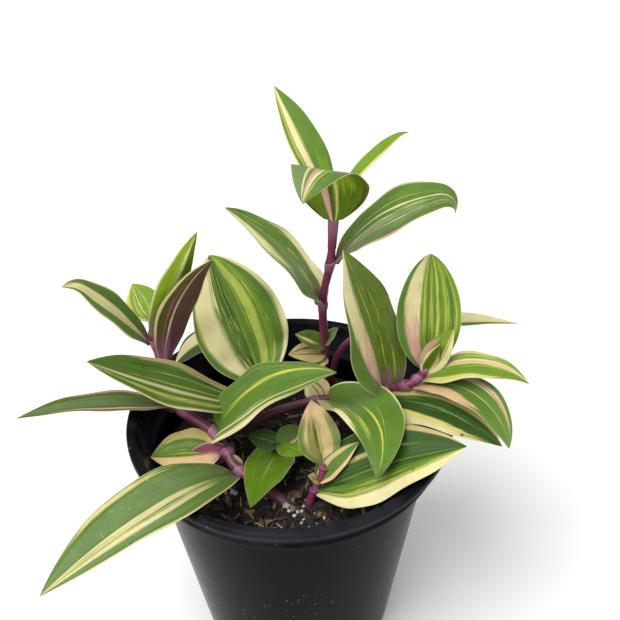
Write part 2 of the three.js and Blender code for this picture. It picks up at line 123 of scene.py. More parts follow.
# radius: at the root and at the tip. path: points that the stem passes through. age: how brown it
# is at the root and at the tip. taper: how much of its width the last half step loses.
STEMS = {
    "creeping": dict(radius=(2.0, 1.5), age=(0.75, 0.1), path=(
        (0, -24, 65), (-3, -22.5, 72), (-17, -12, 77), (-21, -6, 80), (-26, 1, 83), (-36, 8, 87),
        (-40, 13, 94), (-41.5, 16, 101), (-42.7, 17, 108.3), (-43, 18, 111), (-43, 21, 114))),
    "tall": dict(radius=(1.5, 1.2), age=(0.25, 0.0), path=(
        (12, 31, 65), (13, 28, 92), (12.5, 24, 116), (15, 20, 134), (16, 17.5, 152),
        (16.5, 18, 156), (17, 18.5, 159.5))),
    "right": dict(radius=(1.8, 1.4), age=(0.8, 0.1), taper=0.5, path=(
        (-13, 5, 65), (-13, 8, 75), (-7, 9.7, 81), (10, 12, 84), (18, 10, 86), (27, 8, 87),
        (33, 9, 90), (39, 6, 94), (42.5, 7, 96), (45.5, 9.5, 97.5))),
    "centre": dict(radius=(1.6, 1.5), age=(0.6, 0.4), path=(
        (-8, 20, 65), (-11, 17, 76), (-12, 15, 82), (-8, 20, 88))),
    "back_left": dict(radius=(1.4, 1.2), age=(0.6, 0.3), path=(
        (-16, 33, 65), (-15, 35, 88), (-14, 35, 98))),
    "back_right": dict(radius=(1.3, 1.1), age=(0.5, 0.2), path=(
        (15.5, 34, 65), (16, 33, 80), (20, 33.5, 90), (30, 34, 98))),
    "front": dict(radius=(1.4, 1.2), age=(0.1, 0.2), taper=0.6, path=(
        (4, -23, 65), (5, -23, 72), (7, -22, 77), (9, -20.5, 81), (10, -19, 84))),
    "low": dict(radius=(1.2, 1.0), age=(0.8, 0.5), taper=0.6, path=(
        (-3, 0, 65), (-4, -1, 72), (-4, -3, 77), (-4, -4, 80))),
}

# on: the stem and which of its points. heading, rise, droop, hook, sway, roll, fold, cup and clasp
# are the turns that blade_middle names, in degrees, and curl, blunt and tip its powers. sheath: how
# far it runs down the stem.
LEAVES = {
    "tall_lower_left": dict(on=("tall", 2), heading=-176, rise=86, droop=47, curl=0.5, length=48,
                            width=17, roll=-18, blunt=0.45, tip=0.85),
    "tall_right": dict(on=("tall", 3), heading=-9, rise=61, droop=54, hook=100, length=49,
                       width=19, roll=14, blunt=1.1),
    "top_folded": dict(on=("tall", 4), heading=-98, rise=84, droop=165, curl=2.2, sway=-30,
                       length=39, width=23, fold=5, cup=0, clasp=10, blunt=0.7, sheath=13),
    "top_left": dict(on=("tall", 5), heading=128, rise=57, droop=15, length=39, width=11,
                     roll=-12, blunt=0.8, sheath=2.4),
    "top_right": dict(on=("tall", 6), heading=27, rise=45, droop=25, hook=30, length=28, width=4.8,
                      roll=8, blunt=0.9, sheath=2),
    "left_dark_back": dict(on=("creeping", 7), heading=-43, rise=77, droop=30, length=59,
                           width=12, roll=-25, clasp=15, blunt=0.8),
    "left_outer": dict(on=("creeping", 8), heading=-164, rise=65, droop=18, curl=0.8, hook=55,
                       length=38, width=12, roll=-24, clasp=15, blunt=0.9, sheath=3),
    "left_upright": dict(on=("creeping", 9), heading=-50, rise=66, droop=10, length=59, width=10,
                         roll=-20, clasp=15, sheath=2.5),
    "left_narrow": dict(on=("creeping", 5), heading=-167, rise=43, droop=51, curl=0.6, length=51,
                        width=12, roll=6),
    "left_wide": dict(on=("centre", 2), heading=-156, rise=35, droop=-4, length=63, width=19,
                      roll=-20, clasp=15, blunt=1),
    "back_left": dict(on=("back_left", 2), heading=-160, rise=20, droop=70, length=27, width=14),
    "centre_upright": dict(on=("centre", 3), heading=135, rise=68, droop=10, length=46, width=31,
                           roll=-28, tip=0.75),
    "centre_across": dict(on=("creeping", 4), heading=-7, rise=63, droop=58, length=49, width=24,
                          roll=8, clasp=10, blunt=0.42),
    "front_left_long": dict(on=("creeping", 2), heading=-123, rise=43, droop=62, sway=-15,
                            length=81, width=20, roll=-8, clasp=15, blunt=0.8, sheath=3.5),
    "front_left_small": dict(on=("creeping", 3), heading=-173, rise=16, droop=20, length=22,
                             width=18, roll=-10, clasp=15, blunt=0.7, sheath=3),
    "front_heart": dict(on=("low", 2), heading=-106, rise=28, droop=32, length=32, width=15,
                        clasp=20, blunt=0.45, sheath=2),
    "front_young": dict(on=("front", 4), heading=103, rise=55, droop=5, length=20, width=13.5,
                        sheath=2),
    "front_right_long": dict(on=("front", 2), heading=-8, rise=41, droop=30, length=49, width=28,
                             roll=14, sheath=2),
    "front_folded": dict(on=("right", 3), heading=-36, rise=42, droop=62, sway=-75, length=55,
                         width=21, blunt=0.6),
    "right_low": dict(on=("right", 5), heading=-38, rise=30, droop=50, length=47, width=22,
                      clasp=15),
    "right_drooping": dict(on=("right", 7), heading=-15, rise=28, droop=60, sway=-70, length=43,
                           width=15, clasp=15, sheath=4),
    "right_side": dict(on=("right", 8), heading=-18, rise=38, droop=75, curl=1.5, length=36,
                       width=15, clasp=15, sheath=3),
    "right_upright": dict(on=("right", 9), heading=84, rise=79, droop=5, length=39, width=21,
                          clasp=15, tip=0.68, sheath=3),
    "centre_right_upright": dict(on=("right", 6), heading=180, rise=82, droop=10, length=57,
                                 width=25, roll=-42, blunt=0.55),
    "back_right": dict(on=("back_right", 3), heading=2, rise=7, droop=20, length=50, width=9),
}

# Young leaves, buds and a dried scrap. The place on the stem is counted in path points.
SHOOTS = {
    "light_young": dict(on=("creeping", 9.9), heading=122, rise=36, droop=10, length=15,
                        width=12, roll=-20),
    "pink_young": dict(on=("creeping", 2.8), heading=180, rise=6, length=13, width=8, roll=110,
                       clasp=10),
    "dried_scrap": dict(on=("creeping", 2.55), heading=-35, rise=14, droop=60, length=5.6,
                        width=3.6, roll=30, fold=30, cup=50),
    "foot_green": dict(on=("tall", 1.12), heading=-172, rise=38, droop=10, length=12, width=7,
                       roll=-35, clasp=15),
    "foot_grey": dict(on=("tall", 1.16), heading=-18, rise=62, droop=10, length=9, width=5,
                      roll=35, clasp=15),
    "foot_tan": dict(on=("tall", 0.98), heading=-160, rise=25, droop=20, length=14, width=8,
                     roll=-35, clasp=15),
    "foot_cream": dict(on=("tall", 0.9), heading=-120, rise=10, droop=20, length=8, width=5,
                       roll=-10, clasp=15),
    "bud_large": dict(on=("right", 8.75), heading=-2, rise=63, length=18.5, width=9, roll=62,
                      clasp=20),
    "bud_small": dict(on=("right", 8.6), heading=-12, rise=68, length=13, width=6, roll=98,
                      clasp=20),
    "front_bud": dict(on=("front", 2.5), heading=-150, rise=50, length=6, width=4, roll=-30,
                      clasp=10),
    "front_shoot": dict(on=("front", 2.5), heading=20, rise=50, droop=20, length=18, width=7,
                        roll=20, clasp=15),
    "low_right": dict(on=("low", 2.8), heading=-35, rise=14, droop=25, length=10, width=8,
                      roll=14, clasp=15),
    "low_left": dict(on=("low", 2.8), heading=163, rise=16, droop=10, length=11, width=7,
                     roll=-30, clasp=15),
    "low_back": dict(on=("low", 2.8), heading=15, rise=35, droop=10, length=10, width=8, roll=35,
                     clasp=15),
    "curled_base": dict(on=("right", 3.15), heading=125, rise=30, droop=20, length=10, width=9,
                        roll=-30, clasp=15),
    "shaded": dict(on=("right", 4.3), heading=30, rise=14, droop=10, length=14, width=7, roll=25,
                   clasp=15),
}

# The stripes of each blade. base: the colour under them. stripes: colour, centre at the base and at
# the tip, width at the base and at the tip, and the stretch of the blade that it runs along, where
# that isn't the whole of it. dashes: colour, centre, width of the band, and how much of it they
# fill. back and back_dashes: those of the underside, where it has its own. blush: how far the mauve
# climbs from the base. tone_and_lighting: how bright the whole blade is painted, where it isn't 1,
# partly its own tone and partly painted light and shade for how much light reaches it. dry: where
# the dry tip begins. specks, scars and drops: how many dry specks, scratches and pale flecks lie on
# it.
STRIPES = {
    "tall_lower_left": dict(base="green", tone_and_lighting=1.15, blush=0.1, dry=0.985, stripes=(
        ("cream", 0.06, 0.0, 0.42, 0.1, 0.0, 0.75), ("cream", 0.9, 0.82, 0.1, 0.3, 0.35, 1.0),
        ("lime", 0.76, 0.66, 0.04, 0.04, 0.3, 1.0), ("sage_and_sheen", 0.5, 0.5, 0.2, 0.2, 0.0, 0.9)),
        dashes=(("lime", 0.4, 0.5, 0.25),), scars=0.6),
    "tall_right": dict(base="green", blush=0.12, stripes=(
        ("sage_and_sheen", 0.3, 0.3, 0.5, 0.3, 0.0, 0.9), ("pink", 0.0, 0.0, 0.12, 0.08, 0.1, 0.85),
        ("cream", 0.62, 0.58, 0.02, 0.03, 0.05, 1.0), ("cream", 0.5, 0.5, 0.012, 0.016),
        ("cream", 0.4, 0.4, 0.01, 0.012, 0.0, 0.8), ("cream", 0.3, 0.3, 0.008, 0.01, 0.0, 0.9),
        ("lime", 0.74, 0.7, 0.01, 0.012, 0.1, 0.9), ("cream", 0.98, 0.98, 0.04, 0.02, 0.1, 0.9)),
        dashes=(("cream", 0.4, 0.4, 0.2), ("dark", 0.2, 0.3, 0.25)), scars=0.3),
    "top_folded": dict(base="green", stripes=(
        ("sage_and_sheen", 0.14, 0.14, 0.4, 0.3), ("cream", 0.33, 0.34, 0.03, 0.05, 0.3, 1.0),
        ("cream", 0.52, 0.54, 0.08, 0.1, 0.4, 1.0), ("pink", 0.44, 0.46, 0.05, 0.06, 0.4, 1.0),
        ("lime", 0.66, 0.66, 0.02, 0.03, 0.3, 1.0)),
        dashes=(("cream", 0.5, 0.4, 0.2), ("lime", 0.75, 0.3, 0.3)), back=(
        ("heart", 0.5, 0.5, 1.2, 1.2, -1.0, 2.0), ("lime_green", 0.72, 0.68, 0.2, 0.26, 0.15, 1.5),
        ("olive", 0.98, 0.98, 0.14, 0.12), ("lime_green", 0.24, 0.2, 0.12, 0.16, 0.3, 1.5),
        ("olive", 0.06, 0.04, 0.14, 0.1), ("pink", 0.45, 0.3, 0.12, 0.1),
        ("olive", 0.52, 0.42, 0.04, 0.05), ("yellow", 0.59, 0.5, 0.03, 0.05)),
        back_dashes=(("olive", 0.2, 0.36, 0.25), ("olive", 0.84, 0.3, 0.25))),
    "top_left": dict(base="green", tone_and_lighting=1.2, stripes=(
        ("bright", 0.3, 0.3, 0.5, 0.0, 0.0, 0.5), ("cream", 0.68, 0.7, 0.2, 0.18),
        ("lime", 0.84, 0.84, 0.04, 0.05), ("cream", 0.99, 0.99, 0.05, 0.06),
        ("cream", 0.54, 0.57, 0.02, 0.02, 0.2, 1.0)), dashes=(("lime", 0.86, 0.14, 0.4),)),
    "top_right": dict(base="bright", stripes=(
        ("yellow", 0.06, 0.04, 0.2, 0.12, 0.0, 0.9), ("lime", 0.5, 0.5, 0.02, 0.02))),
    "left_dark_back": dict(base="green", tone_and_lighting=0.92, blush=0.3, stripes=(
        ("cream", 0.3, 0.3, 0.2, 0.2),), back=(
        ("plum", 0.5, 0.5, 1.2, 1.2, -1.0, 2.0), ("cream", 0.0, 0.0, 0.12, 0.2),
        ("olive", 0.2, 0.2, 0.14, 0.14), ("rose", 0.28, 0.3, 0.06, 0.06, 0.0, 0.8),
        ("cream", 0.4, 0.42, 0.035, 0.05), ("cream", 1.0, 1.0, 0.03, 0.03)),
        back_dashes=(("olive", 0.3, 0.3, 0.4),)),
    "left_outer": dict(base="green", blush=0.1, dry=0.98, stripes=(
        ("cream", 0.5, 0.55, 0.16, 0.5), ("yellow", 0.62, 0.6, 0.03, 0.05),
        ("cream", 1.0, 1.0, 0.06, 0.1), ("cream", 0.0, 0.0, 0.04, 0.1, 0.3, 1.0),
        ("pink", 0.5, 0.5, 0.0, 1.4, 0.86, 1.2))),
    "left_upright": dict(base="green", tone_and_lighting=1.25, blush=0.25, dry=0.975, stripes=(
        ("cream", 0.4, 0.4, 0.2, 0.2),), back=(
        ("lime_green", 0.5, 0.5, 1.2, 1.2, -1.0, 2.0), ("cream", 0.0, 0.0, 0.12, 0.1),
        ("heart", 0.84, 0.84, 0.34, 0.36), ("lime", 0.4, 0.4, 0.04, 0.03),
        ("cream", 0.56, 0.56, 0.1, 0.14), ("cream", 1.0, 1.0, 0.04, 0.06)),
        back_dashes=(("olive", 0.85, 0.3, 0.35),)),
    "left_narrow": dict(base="olive_green", tone_and_lighting=0.74, blush=0.1, stripes=(
        ("sage_and_sheen", 0.5, 0.5, 0.5, 0.5, 0.1, 1.0), ("green", 0.36, 0.36, 0.06, 0.06, 0.2, 0.8),
        ("pink", 0.0, 0.0, 0.26, 0.1, 0.0, 0.8), ("cream", 0.88, 0.9, 0.07, 0.05, 0.0, 0.9),
        ("rose", 1.0, 1.0, 0.08, 0.06, 0.0, 0.8))),
    "left_wide": dict(base="green", tone_and_lighting=0.84, dry=0.985, stripes=(
        ("tan", 0.0, 0.0, 0.46, 0.0, 0.0, 0.9), ("dark", 0.1, 0.04, 0.03, 0.0, 0.0, 0.5),
        ("cream", 0.3, 0.3, 0.012, 0.01, 0.0, 0.8), ("lime", 0.46, 0.46, 0.018, 0.018, 0.0, 0.9),
        ("cream", 0.62, 0.6, 0.07, 0.12), ("lime", 0.8, 0.8, 0.1, 0.1, 0.05, 0.95),
        ("cream", 1.0, 1.0, 0.07, 0.1)),
        dashes=(("yellow", 0.8, 0.14, 0.5), ("green", 0.84, 0.2, 0.3), ("dark", 0.25, 0.3, 0.25)),
        specks=0.15),
    "back_left": dict(base="dark", stripes=(
        ("cream", 0.32, 0.3, 0.46, 0.4), ("lime", 0.55, 0.5, 0.04, 0.04))),
    "centre_upright": dict(base="green", stripes=(
        ("cream", 0.76, 0.82, 0.32, 0.34), ("lime", 0.33, 0.36, 0.1, 0.12),
        ("lime", 0.5, 0.54, 0.06, 0.06), ("yellow", 0.57, 0.6, 0.02, 0.02),
        ("bright", 0.22, 0.22, 0.06, 0.06), ("lime", 0.93, 0.96, 0.03, 0.0, 0.0, 0.7),
        ("green", 1.02, 1.02, 0.26, 0.0, 0.0, 0.8), ("cream", 0.02, 0.03, 0.05, 0.1)),
        dashes=(("green", 0.6, 0.24, 0.75), ("dark", 0.55, 0.14, 0.6), ("green", 0.45, 0.2, 0.5),
                ("lime", 0.25, 0.2, 0.35))),
    "centre_across": dict(base="green", stripes=(
        ("cream", 0.0, 0.0, 0.26, 0.06, 0.0, 0.85), ("green", 0.13, 0.12, 0.05, 0.03),
        ("cream", 0.19, 0.17, 0.045, 0.03), ("lemon", 0.56, 0.8, 0.045, 0.06, 0.04, 1.0)),
        dashes=(("green", 0.1, 0.12, 0.35), ("cream", 0.24, 0.08, 0.35), ("sage_and_sheen", 0.8, 0.3, 0.3))),
    "front_left_long": dict(base="green", tone_and_lighting=0.94, blush=0.05, stripes=(
        ("sage_and_sheen", 0.32, 0.32, 0.42, 0.3, 0.05, 1.0), ("sage_and_sheen", 0.86, 0.86, 0.16, 0.1, 0.2, 1.0),
        ("cream", 0.05, 0.05, 0.09, 0.06, 0.25, 0.97), ("yellow", 0.09, 0.08, 0.03, 0.02, 0.2, 0.9),
        ("cream", 0.6, 0.6, 0.12, 0.14, 0.1, 1.0), ("cream", 0.7, 0.74, 0.07, 0.16, 0.12, 1.0),
        ("lime", 0.66, 0.67, 0.03, 0.03, 0.1, 1.0), ("cream", 1.0, 1.0, 0.035, 0.05)),
        dashes=(("green", 0.66, 0.14, 0.4), ("lime", 0.6, 0.14, 0.3)), drops=0.5, scars=0.35),
    "front_left_small": dict(base="green", blush=0.1, stripes=(
        ("tan", 0.1, 0.05, 0.3, 0.2, 0.0, 0.95), ("sage_and_sheen", 0.34, 0.34, 0.1, 0.1, 0.0, 0.9),
        ("lime", 0.52, 0.52, 0.04, 0.03, 0.0, 0.95), ("peach", 0.82, 0.86, 0.5, 0.4)),
        dashes=(("lime", 0.2, 0.3, 0.12), ("tan", 0.35, 0.2, 0.1))),
    "front_heart": dict(base="heart", stripes=(
        ("lime_green", 0.5, 0.5, 0.06, 0.02, 0.0, 0.8), ("green", 0.4, 0.43, 0.07, 0.04, 0.0, 0.8),
        ("green", 0.6, 0.57, 0.07, 0.04, 0.0, 0.8), ("green", 0.96, 0.96, 0.12, 0.1)),
        dashes=(("green", 0.5, 0.9, 0.2), ("lime_green", 0.5, 0.9, 0.1))),
    "front_young": dict(base="khaki", stripes=(
        ("tan", 0.3, 0.34, 0.26, 0.2), ("olive", 0.57, 0.57, 0.08, 0.04, 0.1, 0.85),
        ("tan", 0.49, 0.5, 0.03, 0.05), ("tan", 0.82, 0.8, 0.05, 0.08, 0.1, 1.0),
        ("sage_and_sheen", 0.02, 0.0, 0.24, 0.1, 0.0, 0.8), ("green", 0.98, 1.0, 0.3, 0.06, 0.0, 0.8),
        ("peach", 0.5, 0.5, 0.1, 1.3, 0.55, 1.6)), dashes=(("olive", 0.5, 0.7, 0.12),),
        specks=0.12),
    "front_right_long": dict(base="dark", stripes=(
        ("green", 0.3, 0.3, 0.14, 0.14), ("cream", 0.0, 0.04, 0.26, 0.4),
        ("lime", 0.17, 0.26, 0.04, 0.04), ("sage_and_sheen", 0.46, 0.46, 0.02, 0.03),
        ("tan", 0.64, 0.7, 0.05, 0.04, 0.0, 0.8), ("tan", 0.93, 0.95, 0.05, 0.12, 0.4, 1.0)),
        dashes=(("lime", 0.25, 0.12, 0.4), ("green", 0.4, 0.2, 0.3)), specks=0.5, scars=0.3),
    "front_folded": dict(base="green", tone_and_lighting=1.06, dry=0.985, stripes=(
        ("cream", 0.0, 0.0, 0.4, 0.0, 0.0, 0.85), ("lime", 0.2, 0.1, 0.03, 0.0, 0.0, 0.7),
        ("lemon", 0.46, 0.56, 0.045, 0.03, 0.22, 1.0), ("lime", 0.66, 0.6, 0.012, 0.01, 0.3, 0.9),
        ("cream", 1.0, 1.0, 0.05, 0.03, 0.0, 0.8)),
        dashes=(("green", 0.14, 0.14, 0.42), ("lime", 0.24, 0.14, 0.4)), drops=1.0, scars=0.5),
    "right_low": dict(base="dark", stripes=(
        ("yellow", 0.1, 0.06, 0.5, 0.3, 0.0, 0.95), ("cream", 0.04, 0.04, 0.24, 0.2, 0.0, 0.9),
        ("tan", 0.86, 0.94, 0.44, 0.24, 0.0, 1.1), ("sage_and_sheen", 0.56, 0.54, 0.02, 0.02, 0.1, 0.9)),
        dashes=(("sage_and_sheen", 0.56, 0.24, 0.25),), specks=0.2, scars=0.2),
    "right_drooping": dict(base="green", blush=0.05, stripes=(
        ("peach", 0.1, 0.0, 0.7, 0.0, 0.0, 0.75), ("green", 0.0, 0.0, 0.06, 0.0, 0.0, 0.3),
        ("lime", 0.52, 0.52, 0.03, 0.03, 0.1, 0.95), ("pink", 0.84, 0.82, 0.09, 0.07, 0.1, 0.97),
        ("cream", 0.78, 0.76, 0.03, 0.02, 0.1, 0.9)), dashes=(("sage_and_sheen", 0.5, 0.3, 0.3),)),
    "right_side": dict(base="bright", blush=0.05, stripes=(
        ("yellow", 0.1, 0.0, 0.34, 0.1, 0.0, 0.8), ("cream", 0.0, 0.0, 0.1, 0.04, 0.0, 0.9),
        ("cream", 0.7, 0.66, 0.13, 0.2), ("pink", 0.68, 0.65, 0.05, 0.08, 0.1, 1.0),
        ("lime", 0.84, 0.84, 0.05, 0.04, 0.0, 0.9), ("cream", 0.95, 0.95, 0.08, 0.04, 0.0, 0.9)),
        dashes=(("lime", 0.5, 0.2, 0.4), ("lime", 0.86, 0.2, 0.4))),
    "right_upright": dict(base="bright", blush=0.04, stripes=(
        ("green", 0.98, 0.98, 0.26, 0.14), ("pink", 0.74, 0.76, 0.22, 0.22, 0.0, 0.7),
        ("cream", 0.74, 0.77, 0.22, 0.26, 0.25, 1.0), ("lime", 0.57, 0.58, 0.03, 0.04),
        ("green", 0.51, 0.51, 0.03, 0.03), ("lime", 0.45, 0.46, 0.03, 0.03),
        ("yellow", 0.34, 0.36, 0.04, 0.05), ("lime", 0.22, 0.24, 0.03, 0.04),
        ("green", 0.14, 0.14, 0.08, 0.06), ("lime", 0.08, 0.08, 0.03, 0.03)),
        dashes=(("green", 0.42, 0.3, 0.35), ("lime", 0.3, 0.4, 0.35), ("green", 0.66, 0.1, 0.4))),
    "centre_right_upright": dict(base="olive_green", blush=0.06, stripes=(
        ("pink", 0.56, 0.9, 0.2, 0.3, 0.0, 0.85), ("cream", 0.6, 0.9, 0.18, 0.34, 0.25, 1.0),
        ("green", 0.9, 1.06, 0.4, 0.0, 0.0, 0.9), ("sage_and_sheen", 0.72, 0.95, 0.02, 0.0, 0.0, 0.7),
        ("green", 0.44, 0.62, 0.07, 0.08), ("cream", 0.49, 0.7, 0.012, 0.012, 0.1, 1.0),
        ("lime", 0.42, 0.5, 0.012, 0.012, 0.2, 1.0)),
        dashes=(("lime", 0.36, 0.3, 0.2), ("green", 0.5, 0.1, 0.4), ("dark", 0.2, 0.4, 0.2))),
    "back_right": dict(base="cream", stripes=(
        ("green", 0.06, 0.1, 0.22, 0.3), ("lime", 0.2, 0.24, 0.05, 0.05),
        ("sage_and_sheen", 1.0, 1.0, 0.04, 0.04, 0.3, 1.0))),
    "light_young": dict(base="bright", stripes=(
        ("yellow", 0.94, 0.94, 0.2, 0.14), ("cream", 0.62, 0.6, 0.03, 0.03),
        ("lime", 0.75, 0.72, 0.05, 0.05), ("lime", 0.4, 0.4, 0.03, 0.03)),
        dashes=(("lime", 0.7, 0.5, 0.35),)),
    "pink_young": dict(base="rose", stripes=(
        ("pink", 0.5, 0.5, 0.3, 0.1, 0.1, 0.8), ("cream", 0.0, 0.0, 0.1, 0.1),
        ("cream", 1.0, 1.0, 0.1, 0.1)), dashes=(("mauve", 0.5, 0.9, 0.4),)),
    "dried_scrap": dict(base="tan", tone_and_lighting=0.66, blush=0.2, dry=0.8, stripes=(
        ("dry", 0.5, 0.5, 0.12, 0.2),), dashes=(("dry", 0.5, 0.9, 0.3),)),
    "foot_green": dict(base="green", stripes=(
        ("cream", 0.6, 0.6, 0.16, 0.16, 0.2, 1.0), ("pink", 0.7, 0.7, 0.08, 0.06, 0.2, 1.0))),
    "foot_grey": dict(base="sage_and_sheen", stripes=(("lime", 0.5, 0.5, 0.06, 0.04),)),
    "foot_tan": dict(base="tan", blush=0.1, stripes=(
        ("olive", 0.3, 0.3, 0.08, 0.06), ("olive", 0.62, 0.6, 0.06, 0.05),
        ("pink", 0.45, 0.45, 0.12, 0.1))),
    "bud_large": dict(base="bright", stripes=(
        ("cream", 0.12, 0.12, 0.2, 0.2), ("pink", 0.85, 0.85, 0.24, 0.2, 0.0, 0.8),
        ("yellow", 0.3, 0.3, 0.08, 0.08)), dashes=(("lime", 0.5, 0.5, 0.4),)),
    "bud_small": dict(base="olive_green", stripes=(
        ("pink", 0.2, 0.2, 0.24, 0.2, 0.0, 0.8), ("cream", 0.9, 0.9, 0.16, 0.16))),
    "front_bud": dict(base="tan", stripes=(
        ("olive", 0.5, 0.5, 0.1, 0.1), ("sage_and_sheen", 1.0, 1.0, 0.2, 0.2))),
    "front_shoot": dict(base="green", stripes=(
        ("peach", 0.0, 0.0, 0.4, 0.3), ("tan", 0.8, 0.8, 0.24, 0.2))),
    "foot_cream": dict(base="tan", blush=0.2, stripes=(
        ("lime", 0.5, 0.5, 0.3, 0.2), ("green", 0.5, 0.5, 0.06, 0.06))),
    "curled_base": dict(base="tan", blush=0.1, stripes=(
        ("olive", 0.3, 0.35, 0.07, 0.05), ("olive", 0.55, 0.52, 0.05, 0.04),
        ("cream", 0.9, 0.9, 0.2, 0.2))),
    "shaded": dict(base="dark", stripes=(("sage_and_sheen", 0.5, 0.5, 0.05, 0.03),)),
    "low_right": dict(base="bright", stripes=(("lime_green", 0.5, 0.5, 0.1, 0.04),)),
    "low_left": dict(base="dark", stripes=(("sage_and_sheen", 0.5, 0.5, 0.06, 0.04),)),
    "low_back": dict(base="green", stripes=(("pink", 0.2, 0.2, 0.16, 0.1),)),
}


# ------------------------------------------------------------------ sizes and colours to change

def colour(name, code, about):
    return bpy.props.FloatVectorProperty(name=name, description=about, subtype="COLOR", size=3,
                                         min=0.0, max=1.0, default=tone(code))


def length(name, value, about):
    return bpy.props.FloatProperty(name=name, description=about, unit="LENGTH", min=0.0,
                                   default=value)


class PotSettings(bpy.types.PropertyGroup):
    """Sizes and colour of the nursery pot."""
    height: length("Height", POT_BOX[1].z, "Height of the pot to the top of its lip")
    lip_radius: length("Lip radius", POT_BOX[1].x, "Outer radius of the rolled lip")
    base_radius: length("Base radius", 0.033, "Outer radius of the underside")
    wall: length("Wall", 0.0018, "Thickness of the moulded wall")
    plastic: colour("Plastic", "070708", "Black of the moulded plastic")
    dust: colour("Dust", "2c2b2a", "Dust and lime left by watering")


class SoilSettings(bpy.types.PropertyGroup):
    """The potting mix and what lies on it."""
    level: length("Level", 0.072, "Height of the soil above the underside of the pot")
    bark: bpy.props.IntProperty(name="Bark", description="Number of bark slivers", default=620,
                                min=0, max=2000)
    grains: bpy.props.IntProperty(name="Perlite", description="Number of perlite grains",
                                  default=64, min=0, max=1000)
    fibres: bpy.props.IntProperty(name="Fibres", description="Number of root fibres", default=70,
                                  min=0, max=500)
    seed: bpy.props.IntProperty(name="Seed", description="Seed of the scatter", default=11)
    peat: colour("Peat", "130e0b", "Wet peat")
    bark_tone: colour("Bark colour", "4b3a2b", "Dry bark")
    perlite: colour("Perlite colour", "d6d2c6", "Perlite")


class LeafColours(bpy.types.PropertyGroup):
    """The colours that the stripes name."""
    green: colour("Green", "56772a", "Main green of a grown leaf")
    dark: colour("Dark green", "30501a", "Leaves in the shade of others")
    bright: colour("Bright green", "6c9020", "Young, thin leaves")
    # Partly painted sheen: broad stripes of this greyish green stand in for light reflected off
    # some blades, and elsewhere it is the leaf's own colour.
    sage_and_sheen: colour("Sage", "6c8650", "Greyish green between fine pale lines")
    heart: colour("Heart green", "54720c", "The soft leaf at the front")
    olive: colour("Olive", "4d5210", "Olive of some undersides")
    olive_green: colour("Olive green", "566e10", "Yellowish green of an upright leaf")
    lime_green: colour("Lime green", "82a01c", "Light through a young leaf")
    khaki: colour("Khaki", "8a864a", "A young leaf between tan and olive")
    lime: colour("Lime", "a8b250", "Where green fades into cream")
    lemon: colour("Lemon", "c8ca48", "Bright yellow centre stripe")
    yellow: colour("Yellow", "d3cb74", "Yellow cream")
    cream: colour("Cream", "dbd19c", "Cream stripe")
    tan: colour("Tan", "c0ae76", "Duller cream")
    peach: colour("Peach", "d6b486", "Cream with some pink")
    pink: colour("Pink", "cfa392", "Pink stripe")
    rose: colour("Rose", "ac4878", "Magenta pink of an underside")
    plum: colour("Plum", "4e2b33", "Purple underside")
    mauve: colour("Mauve", "98587e", "Base of a blade and its sheath")
    rim: colour("Rim", "d9cfa6", "Thin pale margin")
    dry: colour("Dry", "41321f", "Dry tips, specks and scratches")
    drop: colour("Drop", "e4e9dc", "Dried drops of water")


class StemColours(bpy.types.PropertyGroup):
    """The colours of the stems and sheaths."""
    magenta: colour("Magenta", "7c2850", "Young bare stem")
    brown: colour("Brown", "553b38", "Old stem near the soil")
    sheath: colour("Sheath", "8e6078", "Thin sheath round a node")


class StageSettings(bpy.types.PropertyGroup):
    """Floor, light and camera."""
    floor: colour("Floor", "f7f7f7", "Pale floor")
    key: bpy.props.FloatProperty(name="Key light", default=2.8, min=0.0,
                                 description="Strength of the broad overhead light")
    spread: bpy.props.FloatProperty(name="Spread", description="How wide the overhead light is",
                                    default=math.radians(50), subtype="ANGLE")
    fill: bpy.props.FloatProperty(name="Fill light", description="Power of the side light",
                                  default=1.2, min=0.0, unit="POWER")
    sky: bpy.props.FloatProperty(name="Sky", description="Strength of the even light", default=0.6,
                                 min=0.0)
    lens: bpy.props.FloatProperty(name="Lens", description="Focal length in millimetres",
                                  default=58.06, min=1.0)


# ------------------------------------------------------------------ meshes from arrays

class Patch:
    """Points in millimetres, faces, and for each point its UV and one mark: whether it is on an
    underside, or on a stem its age, or on a loose bit its grey."""

    def __init__(self, points, faces, uv=None, under=None, finish=0):
        self.points = np.asarray(points, float).reshape(-1, 3)
        self.faces = [np.asarray(block, int) for block in faces]
        self.uv = np.zeros((len(self.points), 2)) if uv is None else np.reshape(uv, (-1, 2))
        self.under = np.zeros(len(self.points)) if under is None else np.ravel(under)
        self.finish = finish


def make_piece(name, patches, materials, mark="under"):
    """One object at the origin from several patches, each with the material of its number."""
    offsets = np.cumsum([0] + [len(patch.points) for patch in patches])
    faces, finishes = [], []
    for patch, offset in zip(patches, offsets):
        for block in patch.faces:
            faces += (block + offset).tolist()
            finishes += [patch.finish] * len(block)
    mesh = bpy.data.meshes.new(name)
    mesh.from_pydata((np.vstack([patch.points for patch in patches]) * MM).tolist(), [], faces)
    mesh.polygons.foreach_set("material_index", np.array(finishes, dtype=np.int32))
    corners = np.empty(len(mesh.loops), dtype=np.int32)
    mesh.loops.foreach_get("vertex_index", corners)
    layer = mesh.uv_layers.new(name=SURFACE_MAP)
    layer.data.foreach_set("uv", np.vstack([patch.uv for patch in patches])[corners].ravel())
    marks = mesh.attributes.new(mark, "FLOAT", "POINT")
    marks.data.foreach_set("value", np.concatenate([patch.under for patch in patches]))
    for material in materials:
        mesh.materials.append(material)
    mesh.shade_smooth()
    mesh.set_sharp_from_angle(angle=math.radians(50))
    piece = bpy.data.objects.new(name, mesh)
    bpy.context.scene.collection.objects.link(piece)
    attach(piece, "root")
    return piece


